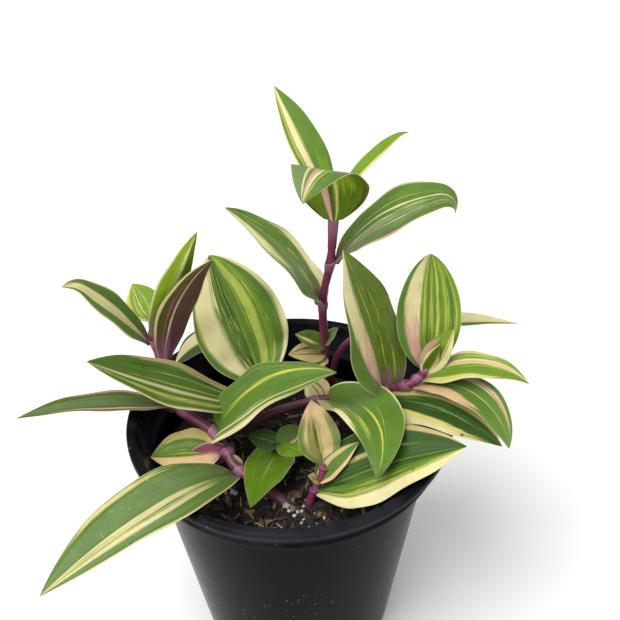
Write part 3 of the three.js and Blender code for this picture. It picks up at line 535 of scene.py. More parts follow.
def wrapped_grid(rows, count):
    """Quads between rows of count points that close on themselves, facing outwards for rings that
    turn anticlockwise about the way the rows run."""
    k = np.arange(count)
    a = (np.arange(rows - 1)[:, None] * count + k).ravel()
    b = (np.arange(rows - 1)[:, None] * count + (k + 1) % count).ravel()
    return np.stack([a, b, b + count, a + count], -1)


def closed_tube(rows, count):
    """The quads of wrapped_grid and a face over each end, facing outwards."""
    cap = np.arange(count)
    return [wrapped_grid(rows, count), cap[None, ::-1], cap[None] + (rows - 1) * count]


def even_turns(count):
    """Angles that divide a full turn by count."""
    return 2 * np.pi * np.arange(count) / count


def smooth(x):
    """The step 3x^2 - 2x^3 from 0 to 1."""
    x = np.clip(x, 0, 1)
    return x * x * (3 - 2 * x)


def bell(x):
    """A bump, e to the power of minus x squared."""
    return np.exp(-x * x)


# ------------------------------------------------------------------ stems

def stem_points(name, places):
    """Points and directions on a stem: between two path points a cubic whose slope at each one is
    half the step between its neighbours."""
    path = np.array(STEMS[name]["path"], float)
    path = np.vstack([2 * path[0] - path[1], path, 2 * path[-1] - path[-2]])
    places = np.atleast_1d(np.asarray(places, float))
    i = np.clip(places.astype(int), 0, len(path) - 4)
    w = (places - i)[:, None]
    a, b, c, d = path[i], path[i + 1], path[i + 2], path[i + 3]
    m, n = (c - a) / 2, (d - b) / 2
    point = ((2 * b - 2 * c + m + n) * w + 3 * c - 3 * b - 2 * m - n) * w * w + m * w + b
    way = (3 * (2 * b - 2 * c + m + n) * w + 2 * (3 * c - 3 * b - 2 * m - n)) * w + m
    return point, way / np.linalg.norm(way, axis=1, keepdims=True)


def stem_radius(name, places):
    """A stem's radius, which changes evenly from its root to its tip."""
    root, tip = STEMS[name]["radius"]
    return root + (tip - root) * np.asarray(places, float) / (len(STEMS[name]["path"]) - 1)


def tube(centres, ways, radii, around):
    """Rings of points: centre plus radius times the cosine and sine of an even turn, square to the
    way. radii may differ round the ring."""
    across = np.cross((0.0, 1.0, 0.0), ways)
    across /= np.linalg.norm(across, axis=1, keepdims=True)
    up = np.cross(ways, across)
    turn = even_turns(around)
    radii = np.broadcast_to(np.asarray(radii, float).reshape(len(centres), -1),
                            (len(centres), around))
    return (centres[:, None] + across[:, None] * (radii * np.cos(turn))[..., None]
            + up[:, None] * (radii * np.sin(turn))[..., None])


def stem_patch(name, finish):
    """A stem: a tube that swells at each node of its leaves by a bell, is pinched just above it,
    and ends in two domes."""
    last = len(STEMS[name]["path"]) - 1
    per_step = 14
    places = np.linspace(0, last, last * per_step + 1)
    points, ways = stem_points(name, places)
    radii = stem_radius(name, places)
    for leaf in LEAVES.values():
        if leaf["on"][0] == name:
            radii = radii + NODE_SWELL * bell((places - leaf["on"][1]) / 0.1)
            radii = radii - NODE_PINCH * bell((places - leaf["on"][1] - 0.35) / 0.2)
    radii = radii * (1 - STEMS[name].get("taper", 0) * smooth((places - last + 0.5) / 0.5))
    dome = np.radians([78, 52, 26])
    low = points[0] - ways[0] * (radii[0] * np.sin(dome))[:, None]
    high = points[-1] + ways[-1] * (radii[-1] * np.sin(dome[::-1]))[:, None]
    points = np.vstack([low, points, high])
    ways = np.vstack([ways[:1]] * 3 + [ways] + [ways[-1:]] * 3)
    radii = np.concatenate([radii[0] * np.cos(dome), radii, radii[-1] * np.cos(dome[::-1])])
    around = 20
    rings = tube(points, ways, radii, around)
    total = len(points)
    share = np.clip((np.arange(total) - 3) / (total - 7), 0, 1)
    uv = np.stack(np.meshgrid(np.arange(around) / around, share * last), -1)
    root, tip = STEMS[name]["age"]
    age = np.repeat(root + (tip - root) * share, around)
    return Patch(rings, closed_tube(total, around), uv, age, finish)


def sheath_patch(leaf, finish):
    """A leaf's sheath: a thin sleeve round the stem, tight at its foot and a little open at its
    mouth, which reaches higher on the leaf's side."""
    name, point = leaf["on"]
    spacing = float(np.linalg.norm(np.subtract(stem_points(name, point)[0],
                                               stem_points(name, point - 1)[0])))
    span = min(leaf.get("sheath", SHEATH_LENGTH), spacing - SHEATH_CLEAR) / spacing
    rows, around = 12, 24
    s = np.linspace(0, 1, rows)
    centres, ways = stem_points(name, point - span * (1 - s))
    radius = stem_radius(name, point)
    outer = radius + 0.1 + 0.36 * smooth(s * 1.2)
    wall = 0.1 + 0.2 * smooth(s * 2)
    skin = tube(centres, ways, outer, around)
    lining = tube(centres, ways, outer - wall, around)
    centre = centres[:, None]
    lean = np.array([math.cos(math.radians(leaf["heading"])),
                     math.sin(math.radians(leaf["heading"])), 0])
    side = ((skin - centre) @ lean) / outer[:, None]
    rise = (smooth(s)[:, None] * 0.9 * side)[..., None] * ways[:, None]
    skin, lining = skin + rise, lining + rise
    rings = np.concatenate([skin, lining[::-1]])
    rings = np.concatenate([rings, rings[:1]])
    uv = np.stack(np.meshgrid(np.arange(around) / around, np.r_[s, s[::-1], s[0]]), -1)
    count = 2 * rows
    faces = wrapped_grid(count + 1, around)
    faces %= count * around
    return Patch(rings[:-1], [faces], uv[:-1], np.repeat(np.r_[0 * s, 0 * s + 1], around), finish)


# ------------------------------------------------------------------ leaves

def blade_middle(leaf, base, rows, columns):
    """The middle surface of a blade. Along the rib, t from 0 to 1, the slope is rise - droop *
    t^curl - hook in the last fifth, and the heading turns by sway. Across it, half the width is
    (t + 0.03)^blunt * (1 - 0.998 t)^tip, scaled to its largest value, and each half rises from
    the rib by fold degrees, and by cup degrees at its margin, plus clasp near the base. Each margin
    waves a little."""
    def direction(t):
        slope = np.radians(leaf["rise"] - leaf.get("droop", 0) * t ** leaf.get("curl", 1)
                           - leaf.get("hook", 0) * smooth((t - 0.8) / 0.2))
        turn = np.radians(leaf["heading"] + leaf.get("sway", 0) * t)
        way = np.stack([np.cos(slope) * np.cos(turn), np.cos(slope) * np.sin(turn),
                        np.sin(slope)], -1)
        return way, turn

    cuts = 400
    fine = np.linspace(0, 1, cuts + 1)
    steps = direction((fine[1:] + fine[:-1]) / 2)[0] * leaf["length"] / cuts
    rib = np.vstack([np.zeros(3), np.cumsum(steps, 0)]) + base
    t = np.linspace(0, 1, rows + 1)
    place = np.stack([np.interp(t, fine, rib[:, k]) for k in range(3)], -1)
    way, turn = direction(t)
    level = np.stack([-np.sin(turn), np.cos(turn), 0 * turn], -1)
    up = np.cross(way, level)
    roll = math.radians(leaf.get("roll", 0))
    side = level * math.cos(roll) + up * math.sin(roll)
    face = up * math.cos(roll) - level * math.sin(roll)

    def shape(t):
        return (t + 0.03) ** leaf.get("blunt", 0.62) * (1 - 0.998 * t) ** leaf.get("tip", 0.95)

    half = leaf["width"] / 2 * shape(t) / shape(fine).max()
    v = np.linspace(-1, 1, columns + 1)
    reach = np.abs(v)
    hug = leaf.get("clasp", 35) * smooth(1 - t / 0.25)
    inner = np.radians(leaf.get("fold", 12) + hug)[:, None]
    outer = np.radians(leaf.get("cup", 5) + hug)[:, None]
    bend = (outer - inner) * reach / 2
    chord = half[:, None] * reach * np.sinc(bend / np.pi)
    y = chord * np.cos(inner + bend) * np.sign(v)
    z = chord * np.sin(inner + bend)
    swing = WAVE_DEPTH * leaf["width"] * np.sin(np.pi * t)[:, None] * reach ** 2
    z = z + swing * np.sin(2 * np.pi * WAVES * t[:, None] + np.where(v > 0, 1.7, 0.4)
                           + leaf["heading"])
    return (place[:, None] + side[:, None] * y[..., None] + face[:, None] * z[..., None], t, v)


def blade_patch(leaf, base, finish, rows=60, columns=26):
    """A blade with two faces. Its thickness is the margin's plus the body's times 1 - |v|^3, times
    1 - 0.6 t^3 towards the tip. Along the rib it is grooved above and ridged below by a bell."""
    middle, t, v = blade_middle(leaf, base, rows, columns)
    along = np.gradient(middle, axis=0)
    across = np.gradient(middle, axis=1)
    normal = np.cross(along, across)
    normal /= np.linalg.norm(normal, axis=2, keepdims=True)
    thick = (BLADE_MARGIN + BLADE_BODY * (1 - np.abs(v) ** 3)) * (1 - 0.6 * t[:, None] ** 3) / 2
    rib = bell(v / 0.06) * (1 - t[:, None]) ** 0.6
    size = min(1.0, leaf["width"] / 12)
    upper = middle + normal * (thick - RIB_GROOVE * size * rib)[..., None]
    lower = middle - normal * (thick + RIB_RIDGE * size * rib)[..., None]
    rings = np.concatenate([lower, upper[:, ::-1]], axis=1)
    count = 2 * (columns + 1)
    u = (v + 1) / 2
    uv = np.stack(np.meshgrid(np.r_[u, u[::-1]], t), -1)
    under = np.tile(np.r_[0 * u + 1, 0 * u], rows + 1)
    k = np.arange(columns)
    foot = np.stack([k, count - 1 - k, count - 2 - k, k + 1], -1)
    tip = np.stack([k, k + 1, count - 2 - k, count - 1 - k], -1) + rows * count
    return Patch(rings, [wrapped_grid(rows + 1, count), foot, tip], uv, under, finish)


def leaf_base(leaf):
    """Where a blade leaves its sheath: at the sheath's wall on the leaf's side, a little below the
    node."""
    name, point = leaf["on"]
    reach = float(stem_radius(name, point)) + BLADE_OUT
    turn = math.radians(leaf["heading"])
    centre = stem_points(name, point)[0][0]
    return centre + np.array([reach * math.cos(turn), reach * math.sin(turn), -BLADE_DOWN])


# ------------------------------------------------------------------ finishes

class Finish:
    """A material and its node tree, with one call for each kind of node that it uses."""

    def __init__(self, name):
        self.material = bpy.data.materials.new(name)
        self.material.use_nodes = True
        self.tree = self.material.node_tree
        self.shader = self.tree.nodes["Principled BSDF"]

    def put(self, socket, value):
        if isinstance(value, bpy.types.NodeSocket):
            self.tree.links.new(value, socket)
        elif socket.type == "RGBA" and len(value) == 3:
            socket.default_value = (*value, 1.0)
        else:
            socket.default_value = value

    def node(self, kind, inputs, **settings):
        node = self.tree.nodes.new(kind)
        for key, value in settings.items():
            setattr(node, key, value)
        for key, value in inputs.items():
            self.put(node.inputs[key], value)
        return node

    def set(self, **values):
        """Sets or links the shader's sockets, written with _ for each space."""
        for key, value in values.items():
            self.put(self.shader.inputs[key.replace("_", " ")], value)

    def math(self, operation, a, b=0.0, c=0.0):
        return self.node("ShaderNodeMath", {0: a, 1: b, 2: c}, operation=operation).outputs[0]

    def times(self, a, b):
        return self.math("MULTIPLY", a, b)

    def line(self, value, slope, start):
        """slope times value plus start."""
        return self.math("MULTIPLY_ADD", value, slope, start)

    def step(self, value, low, high):
        """0 below low and 1 above high, with a smooth step between."""
        return self.node("ShaderNodeMapRange", {0: value, 1: low, 2: high},
                         interpolation_type="SMOOTHSTEP").outputs[0]

    def mix(self, share, a, b):
        return self.node("ShaderNodeMix", {0: share, 6: a, 7: b}, data_type="RGBA").outputs[2]

    def paint(self, below, share, amount, colour):
        """A colour over what is below, covering it by share times amount."""
        return self.mix(self.times(share, amount), below, colour)

    def brighten(self, base, share, low, high):
        """base times a grey between low and high."""
        grey = self.node("ShaderNodeMapRange", {0: share, 3: low, 4: high}).outputs[0]
        return self.node("ShaderNodeVectorMath", {0: base, 1: grey},
                         operation="MULTIPLY").outputs[0]

    def place(self, x, y, z=0.0):
        return self.node("ShaderNodeCombineXYZ", {0: x, 1: y, 2: z}).outputs[0]

    def noise(self, vector, scale, detail=2.0, roughness=0.5):
        return self.node("ShaderNodeTexNoise", {"Vector": vector, "Scale": scale, "Detail": detail,
                                                "Roughness": roughness}).outputs["Fac"]

    def cells(self, vector, scale):
        """Distance to the nearest of many scattered points, and a random grey for each."""
        node = self.node("ShaderNodeTexVoronoi", {"Vector": vector, "Scale": scale})
        grey = self.node("ShaderNodeSeparateColor", {0: node.outputs["Color"]}).outputs[0]
        return node.outputs["Distance"], grey

    def spots(self, near, grey, core, low, high=1.0):
        """Round spots, full within core of a cell's point, on the cells whose grey is above low."""
        return self.times(self.step(near, 0.3, core), self.step(grey, low, high))

    def here(self):
        return self.tree.nodes.new("ShaderNodeTexCoord").outputs["Object"]

    def on_surface(self):
        """Across and along the surface, from its UV map."""
        uv = self.node("ShaderNodeUVMap", {}, uv_map=SURFACE_MAP).outputs[0]
        parts = self.node("ShaderNodeSeparateXYZ", {0: uv})
        return parts.outputs[0], parts.outputs[1]

    def marked(self, name="under"):
        return self.node("ShaderNodeAttribute", {}, attribute_name=name).outputs["Fac"]

    def bump(self, height, strength, distance):
        node = self.node("ShaderNodeBump", {"Height": height, "Strength": strength,
                                            "Distance": distance})
        self.tree.links.new(node.outputs[0], self.shader.inputs["Normal"])


def palette():
    colours = bpy.context.scene.plant_leaves
    return {name: tuple(getattr(colours, name)) for name in LeafColours.__annotations__}


def stripe_layer(finish, below, tones, across, along, ragged, stripe):
    """One stripe: it lies where the distance from its centre line is under half its width. Its
    edges are soft, and past its stretch of the blade it narrows and thins out into streaks."""
    name, at, to, wide, wide_to, *stretch = stripe
    start, end = stretch or (0.0, 1.0)
    centre = finish.line(along, to - at, at)
    away = finish.math("ABSOLUTE", finish.math("SUBTRACT", across, centre))
    half = finish.line(along, (wide_to - wide) / 2, wide / 2)
    there = None
    if start > 0:
        there = finish.step(ragged, start, start + 0.3)
    if end < 1:
        there = finish.times(1.0 if there is None else there,
                             finish.step(ragged, end, end - 0.3))
    if there is not None:
        half = finish.times(half, finish.line(there, 0.6, 0.4))
    soft = min(0.026, max(0.007, (wide + wide_to) / 4))
    inside = finish.step(finish.math("SUBTRACT", half, away), -soft, soft)
    if there is not None:
        inside = finish.times(inside, there)
    return finish.mix(inside, below, tones[name])


def dash_layer(finish, below, tones, across, streaks, dash):
    """Fine dashes in a band: where stretched noise passes a level, fading at the band's edges."""
    name, at, wide, share = dash
    away = finish.math("ABSOLUTE", finish.math("SUBTRACT", across, at))
    band = finish.step(away, wide / 2 + 0.02, wide / 2 - 0.05)
    level = 0.66 - 0.3 * share
    lines = finish.step(streaks, level, level + 0.035)
    return finish.paint(below, band, lines, tones[name])


def leaf_finish(name, looks, seed):
    """A striped blade. The stripes run in the blade's own across and along, bent a little by noise;
    fine veins, mottling, a mauve base, a dry tip, specks, scratches and drops lie over them."""
    finish = Finish("striped_" + name)
    tones = palette()
    u, v = finish.on_surface()
    under = finish.marked()

    def streaky(density, stretch, turn, detail=3.0):
        where = finish.place(finish.times(u, density), finish.times(v, stretch), seed * 1.7 + turn)
        return finish.noise(where, 1.0, detail, 0.6)

    slow = finish.noise(finish.place(finish.times(u, 3.0), v, seed * 3.1), 2.4)
    quick = streaky(38.0, 4.0, 0.0)
    hair = streaky(95.0, 3.0, 21.0, 2.0)
    across = finish.line(finish.math("SUBTRACT", slow, 0.5), 0.08, u)
    across = finish.line(finish.math("SUBTRACT", quick, 0.5), 0.05, across)
    ragged = finish.line(finish.math("SUBTRACT", quick, 0.5), 0.9, v)

    def layered(base, stripes, dashes, turn):
        shade = tones[base]
        for stripe in stripes:
            shade = stripe_layer(finish, shade, tones, across, v, ragged, stripe)
        for number, dash in enumerate(dashes):
            streaks = streaky(40.0, 2.6, turn + number * 7.7)
            shade = dash_layer(finish, shade, tones, across, streaks, dash)
        return shade

    top = layered(looks["base"], looks.get("stripes", ()), looks.get("dashes", ()), 0.0)
    if "back" in looks:
        back = layered("plum", looks["back"], looks.get("back_dashes", ()), 40.0)
    else:
        back = finish.mix(0.55, top, tones["plum"])
    shade = finish.mix(under, top, back)
    lines = finish.step(hair, 0.5, 0.66)
    shade = finish.paint(shade, lines, 0.1, tones["lime"])
    dark_lines = finish.step(hair, 0.46, 0.32)
    shade = finish.brighten(shade, dark_lines, 1.0, 0.93)
    mottle = finish.noise(finish.here(), 160.0, 4.0, 0.6)
    shade = finish.brighten(shade, mottle, 0.78, 1.22)
    broad = finish.noise(finish.here(), 38.0, 2.0)
    # Painted light and shade: the whole blade is made lighter or darker by this factor, partly for
    # its own tone and partly for how much light reaches it.
    tone_and_lighting = looks.get("tone_and_lighting", 1.0)
    shade = finish.brighten(shade, broad, 0.84 * tone_and_lighting, 1.16 * tone_and_lighting)
    climb = looks.get("blush", 0.0)
    if climb > 0:
        mauve = finish.step(ragged, climb, climb * 0.1)
        shade = finish.paint(shade, mauve, 0.75, tones["mauve"])
    rim = finish.step(finish.math("ABSOLUTE", finish.math("SUBTRACT", u, 0.5)), 0.482, 0.5)
    shade = finish.paint(shade, rim, 0.5, tones["rim"])
    rough = finish.line(mottle, 0.24, 0.3)
    if looks.get("dry", 1.0) < 1:
        tip = finish.step(ragged, looks["dry"], looks["dry"] + 0.05)
        shade = finish.paint(shade, tip, 0.8, tones["dry"])
    if looks.get("specks", 0) > 0:
        near, grey = finish.cells(finish.here(), 420.0)
        spot = finish.spots(near, grey, 0.16, 1 - looks["specks"] * 0.2)
        shade = finish.mix(spot, shade, tones["dry"])
    if looks.get("scars", 0) > 0:
        marks = streaky(26.0, 7.0, 33.0, 4.0)
        scar = finish.step(marks, 0.72 - 0.08 * looks["scars"], 0.74)
        shade = finish.paint(shade, scar, 0.75, tones["dry"])
    if looks.get("drops", 0) > 0:
        flecks = finish.step(finish.noise(finish.here(), 1100.0, 3.0, 0.6), 0.62, 0.7)
        spot = finish.times(flecks, finish.step(broad, 0.62 - 0.12 * looks["drops"], 0.66))
        shade = finish.paint(shade, spot, 0.32, tones["drop"])
        rough = finish.line(spot, -0.2, rough)
    height = finish.line(hair, 0.7, mottle)
    finish.bump(finish.line(quick, 0.8, height), 0.4, 0.0003)
    finish.set(Base_Color=shade, Roughness=rough, Specular_IOR_Level=0.22, Subsurface_Weight=0.12,
               Subsurface_Radius=(0.8, 1.0, 0.3), Subsurface_Scale=0.0012)
    return finish.material


def stem_finish(name):
    """A juicy stem: magenta where young and brown where old, with fine length-wise streaks, small
    pale dots and a soft gloss."""
    finish = Finish(name)
    colours = bpy.context.scene.plant_stems
    u, v = finish.on_surface()
    age = finish.marked()
    streaks = finish.noise(finish.place(finish.times(u, 16.0), finish.times(v, 1.5)), 1.0, 4.0, 0.6)
    clouds = finish.noise(finish.here(), 130.0, 3.0)
    old = finish.math("ADD", age, finish.line(clouds, 0.6, -0.3))
    shade = finish.mix(finish.step(old, 0.0, 0.9), tuple(colours.magenta), tuple(colours.brown))
    shade = finish.paint(shade, finish.step(streaks, 0.45, 0.75), 0.4, tuple(colours.sheath))
    near, grey = finish.cells(finish.here(), 900.0)
    dots = finish.spots(near, grey, 0.12, 0.75)
    shade = finish.paint(shade, dots, 0.35, STEM_DOT)
    shade = finish.brighten(shade, clouds, 0.75, 1.25)
    finish.bump(finish.math("ADD", streaks, clouds), 0.4, 0.0003)
    finish.set(Base_Color=shade, Roughness=finish.line(clouds, 0.25, 0.28),
               Subsurface_Weight=0.1, Subsurface_Radius=(1.0, 0.4, 0.5), Subsurface_Scale=0.001)
    return finish.material


def sheath_finish(name):
    """The thin sheath: mauve with grey veins along it, and a dry pale rim at its mouth."""
    finish = Finish(name)
    colours = bpy.context.scene.plant_stems
    u, v = finish.on_surface()
    veins = finish.noise(finish.place(finish.times(u, 22.0), finish.times(v, 1.2)), 1.0, 3.0, 0.6)
    shade = finish.mix(finish.step(veins, 0.4, 0.62), tuple(colours.magenta), tuple(colours.sheath))
    foot = finish.step(finish.line(veins, 0.4, v), 0.3, 0.7)
    shade = finish.mix(foot, tuple(colours.magenta), finish.mix(0.6, shade, tuple(colours.sheath)))
    shade = finish.paint(shade, finish.step(v, 0.86, 1.0), 0.4, SHEATH_MOUTH)
    finish.bump(veins, 0.5, 0.0003)
    finish.set(Base_Color=shade, Roughness=0.42, Subsurface_Weight=0.1,
               Subsurface_Radius=(1.0, 0.5, 0.5), Subsurface_Scale=0.001)
    return finish.material


def pot_finish():
    """Black moulded plastic: a soft gloss broken by faint scuffs and patches of dust, a greyer band
    and lip painted a patchy bluish grey as a sheen of reflected light, and dried specks of water
    and soil."""
    colours = bpy.context.scene.plant_pot
    finish = Finish("black_plastic")
    where = finish.here()
    height = finish.node("ShaderNodeSeparateXYZ", {0: where}).outputs[2]
    clouds = finish.noise(where, 45.0, 4.0, 0.6)
    fine = finish.noise(where, 900.0, 2.0)
    stretched = finish.node("ShaderNodeMapping", {"Vector": where, "Scale": (1.0, 1.0, 9.0)})
    scuffs = finish.noise(stretched.outputs[0], 160.0, 4.0, 0.7)
    dust = tuple(colours.dust)
    shade = finish.paint(tuple(colours.plastic), finish.step(clouds, 0.45, 0.75), 0.1, dust)
    shade = finish.paint(shade, finish.step(scuffs, 0.6, 0.75), 0.16, dust)
    # Painted sheen: the band and lip get a patchy bluish grey that stands in for light reflected
    # off the glossy plastic.
    sheen_share = finish.line(finish.step(clouds, 0.4, 0.62), 0.26, 0.06)
    shade = finish.paint(shade, finish.step(height, SHEEN_FROM, SHEEN_FULL), sheen_share, PAINTED_SHEEN)
    near, grey = finish.cells(where, 560.0)
    patchy = finish.step(finish.noise(where, 40.0, 2.0), 0.44, 0.58)
    spot = finish.times(finish.spots(near, grey, 0.1, 0.72, 0.95), patchy)
    shade = finish.paint(shade, spot, 0.3, WATER_SPOT)
    rough = finish.line(clouds, 0.2, 0.12)
    rough = finish.line(finish.step(scuffs, 0.55, 0.7), 0.2, rough)
    finish.bump(finish.line(fine, 0.3, finish.math("ADD", clouds, spot)), 0.25, 0.0002)
    finish.set(Base_Color=shade, Roughness=rough, Specular_IOR_Level=0.035)
    return finish.material


def soil_finish():
    """Wet peat: nearly black, with brown crumbs and a few pale flecks, rough and pitted."""
    colours = bpy.context.scene.plant_soil
    finish = Finish("peat")
    where = finish.here()
    crumbs = finish.noise(where, 420.0, 5.0, 0.7)
    near, grey = finish.cells(where, 650.0)
    shade = finish.mix(finish.step(crumbs, 0.5, 0.75), tuple(colours.peat), CRUMB)
    flecks = finish.spots(near, grey, 0.18, 0.92)
    shade = finish.mix(flecks, shade, PALE_FLECK)
    finish.bump(finish.math("SUBTRACT", crumbs, near), 0.9, 0.0009)
    finish.set(Base_Color=shade, Roughness=finish.line(crumbs, 0.5, 0.5))
    return finish.material


def litter_finish(name, dark, light, rough):
    """Loose pieces: each has its own grey between a dark and a light tone, with fine grain."""
    finish = Finish(name)
    where = finish.here()
    grain = finish.noise(where, 900.0, 4.0, 0.7)
    own = finish.line(grain, 0.6, finish.math("SUBTRACT", finish.marked("shade"), 0.3))
    shade = finish.mix(finish.step(own, 0.0, 1.0), dark, light)
    finish.bump(grain, 0.7, 0.0004)
    finish.set(Base_Color=shade, Roughness=rough)
    return finish.material


# ------------------------------------------------------------------ pot and soil

def pot_profile(pot):
    """The wall's outline as radius and height, in millimetres, from the middle of the underside
    outside, over the lip and down inside. Corners are doubled by short chamfers."""
    top, lip, foot, wall = (value * 1000 for value in (pot.height, pot.lip_radius, pot.base_radius,
                                                       pot.wall))
    step, band = top - BAND_DEPTH, lip - LIP_OVER_BAND
    under = band - BAND_TAPER
    body = under - STEP_IN
    return [(0.01, 0), (foot - 3, 0), (foot - 1.5, 0.05), (foot - 0.6, 0.35), (foot - 0.15, 0.9),
            (foot, 1.4), (body - 0.06, step - 1.2), (body + 0.1, step - 0.75),
            (body + 0.6, step - 0.4), (under, step - 0.15), (under + 0.45, step),
            (under + 0.65, step + 0.3), (under + 0.6, step + 1.2), (under + 0.35, step + 1.7),
            (under + 0.25, step + 2.4),
            (band - 0.1, top - 3.4), (band + 0.1, top - 2.9), (band + 0.6, top - 2.65),
            (lip - 0.5, top - 2.6), (lip - 0.15, top - 2.45), (lip, top - 2), (lip, top - 1),
            (lip - 0.2, top - 0.4), (lip - 0.8, top - 0.05), (lip - 1.4, top),
            (lip - 2.2, top - 0.02), (lip - 2.9, top - 0.3), (lip - 3.3, top - 0.9),
            (under - wall - 0.5, step + 1.6), (under - wall - 1.4, step + 0.4),
            (body - wall + 0.4, step - 0.3), (body - wall, step - 1),
            (foot - wall + 0.15, 3.2), (foot - wall - 0.4, 2.3), (foot - wall - 1.2, POT_FLOOR),
            (0.01, POT_FLOOR)]


def pot_piece():
    """The pot: its profile turned about Z, cut by the eight drain holes in its floor."""
    pot = bpy.context.scene.plant_pot
    profile = np.array(pot_profile(pot))
    longest = 5.0
    dense = [profile[:1]]
    for a, b in zip(profile[:-1], profile[1:]):
        count = max(1, int(np.ceil(np.linalg.norm(b - a) / longest)))
        dense.append(a + (b - a) * (np.arange(1, count + 1) / count)[:, None])
    profile = np.vstack(dense)
    around = 160
    turn = even_turns(around)
    rings = np.stack([profile[:, :1] * np.cos(turn), profile[:, :1] * np.sin(turn),
                      np.broadcast_to(profile[:, 1:], (len(profile), around))], -1)
    uv = np.stack(np.meshgrid(turn, profile[:, 1]), -1)
    piece = make_piece("nursery_pot", [Patch(rings, closed_tube(len(profile), around), uv)],
                       [pot_finish()])
    drill_holes(piece, DRAIN_HOLES, DRAIN_RING, DRAIN_RADIUS)
    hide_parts("pot")
    return piece


def drill_holes(piece, count, ring, radius):
    """Cuts round holes of that radius through the floor, on a ring, and keeps the result."""
    sides, below, above = 24, -4.0, 6.0
    turn = even_turns(sides)
    circle = np.stack([np.cos(turn), np.sin(turn)], -1) * radius
    patches = []
    for i in range(count):
        angle = 2 * math.pi * (i + 0.5) / count
        middle = np.array([ring * math.cos(angle), ring * math.sin(angle)])
        rings = np.array([np.c_[circle + middle, np.full(sides, z)] for z in (below, above)])
        patches.append(Patch(rings, closed_tube(2, sides)))
    cutter = make_piece("drill", patches, [])
    cut = piece.modifiers.new("holes", "BOOLEAN")
    cut.object = cutter
    cut.operation = "DIFFERENCE"
    bpy.context.view_layer.update()
    shape = bpy.data.meshes.new_from_object(
        piece.evaluated_get(bpy.context.evaluated_depsgraph_get()))
    piece.modifiers.clear()
    piece.data = shape
    shape.set_sharp_from_angle(angle=math.radians(40))
    bpy.data.objects.remove(cutter, do_unlink=True)


def soil_top(x, y, seed):
    """Height of the soil: two long waves, and crumbs from random heights on a 1.1 mm and a 2.6 mm
    grid joined by smooth steps."""
    level = bpy.context.scene.plant_soil.level * 1000
    height = (level + 0.54 * np.sin(x * 0.19 + 1.1) * np.cos(y * 0.23)
              + 0.36 * np.sin(x * 0.53 + y * 0.41))
    half = 80
    for size, amount in ((2.6, 1.3), (1.1, 0.8)):
        grid = np.random.default_rng(seed).random((2 * half, 2 * half))
        gx, gy = x / size + half, y / size + half
        i, j = np.floor(gx).astype(int), np.floor(gy).astype(int)
        p, q = smooth(gx - i), smooth(gy - j)
        low = grid[i, j] * (1 - p) + grid[i + 1, j] * p
        high = grid[i, j + 1] * (1 - p) + grid[i + 1, j + 1] * p
        height = height + amount * (low * (1 - q) + high * q - 0.5)
        seed += 1
    return height


def inside_radius(height):
    """Inner radius of the pot at a height, in millimetres."""
    pot = bpy.context.scene.plant_pot
    foot = (pot.base_radius - pot.wall) * 1000
    inset = LIP_OVER_BAND + BAND_TAPER + STEP_IN
    top = pot.lip_radius * 1000 - inset - pot.wall * 1000
    return foot + (top - foot) * (height - POT_FLOOR) / (pot.height * 1000 - BAND_DEPTH - POT_FLOOR)


def soil_piece():
    """The bed of potting mix: a plug with sloping sides whose top is soil_top."""
    soil = bpy.context.scene.plant_soil
    level = soil.level * 1000
    around = 200
    turn = even_turns(around)
    radii = np.r_[0.01, inside_radius(SOIL_FLOOR) - SOIL_GAP, inside_radius(level - 3) - SOIL_GAP,
                  (inside_radius(level) - SOIL_GAP) * np.linspace(0.998, 0.006, 90)]
    x, y = radii[:, None] * np.cos(turn), radii[:, None] * np.sin(turn)
    z = soil_top(x, y, soil.seed)
    z[:3] = np.array([SOIL_FLOOR, SOIL_FLOOR, level - 3])[:, None]
    patch = Patch(np.stack([x, y, z], -1), closed_tube(len(radii), around))
    piece = make_piece("potting_bed", [patch], [soil_finish()])
    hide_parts("soil")
    return piece


def scatter(rng, count, margin):
    """Even random places on the soil, clear of the pot's wall by margin millimetres."""
    soil = bpy.context.scene.plant_soil
    reach = (inside_radius(soil.level * 1000) - margin) * np.sqrt(rng.random(count))
    turn = rng.random(count) * 2 * np.pi
    x, y = reach * np.cos(turn), reach * np.sin(turn)
    return np.stack([x, y, soil_top(x, y, soil.seed)], -1)


def clusters(rng, count, middles, spread):
    """Places round the given middles, spread by a normal distribution."""
    soil = bpy.context.scene.plant_soil
    middle = np.array(middles, float)[rng.integers(0, len(middles), count)]
    x, y = (middle + spread * rng.standard_normal((count, 2))).T
    return np.stack([x, y, soil_top(x, y, soil.seed)], -1)


def tumbled(rng, count, tilt):
    """Random turns: any way about Z, and up to tilt degrees about X and Y."""
    a = rng.random(count) * 2 * np.pi
    b, c = np.radians(tilt) * (2 * rng.random((2, count)) - 1)
    zero, one = 0 * a, 0 * a + 1
    spin = np.array([[np.cos(a), -np.sin(a), zero], [np.sin(a), np.cos(a), zero],
                     [zero, zero, one]])
    pitch = np.array([[np.cos(b), zero, np.sin(b)], [zero, one, zero],
                      [-np.sin(b), zero, np.cos(b)]])
    bank = np.array([[one, zero, zero], [zero, np.cos(c), -np.sin(c)],
                     [zero, np.sin(c), np.cos(c)]])
    return np.einsum("ijn,jkn,kln->nil", spin, pitch, bank)


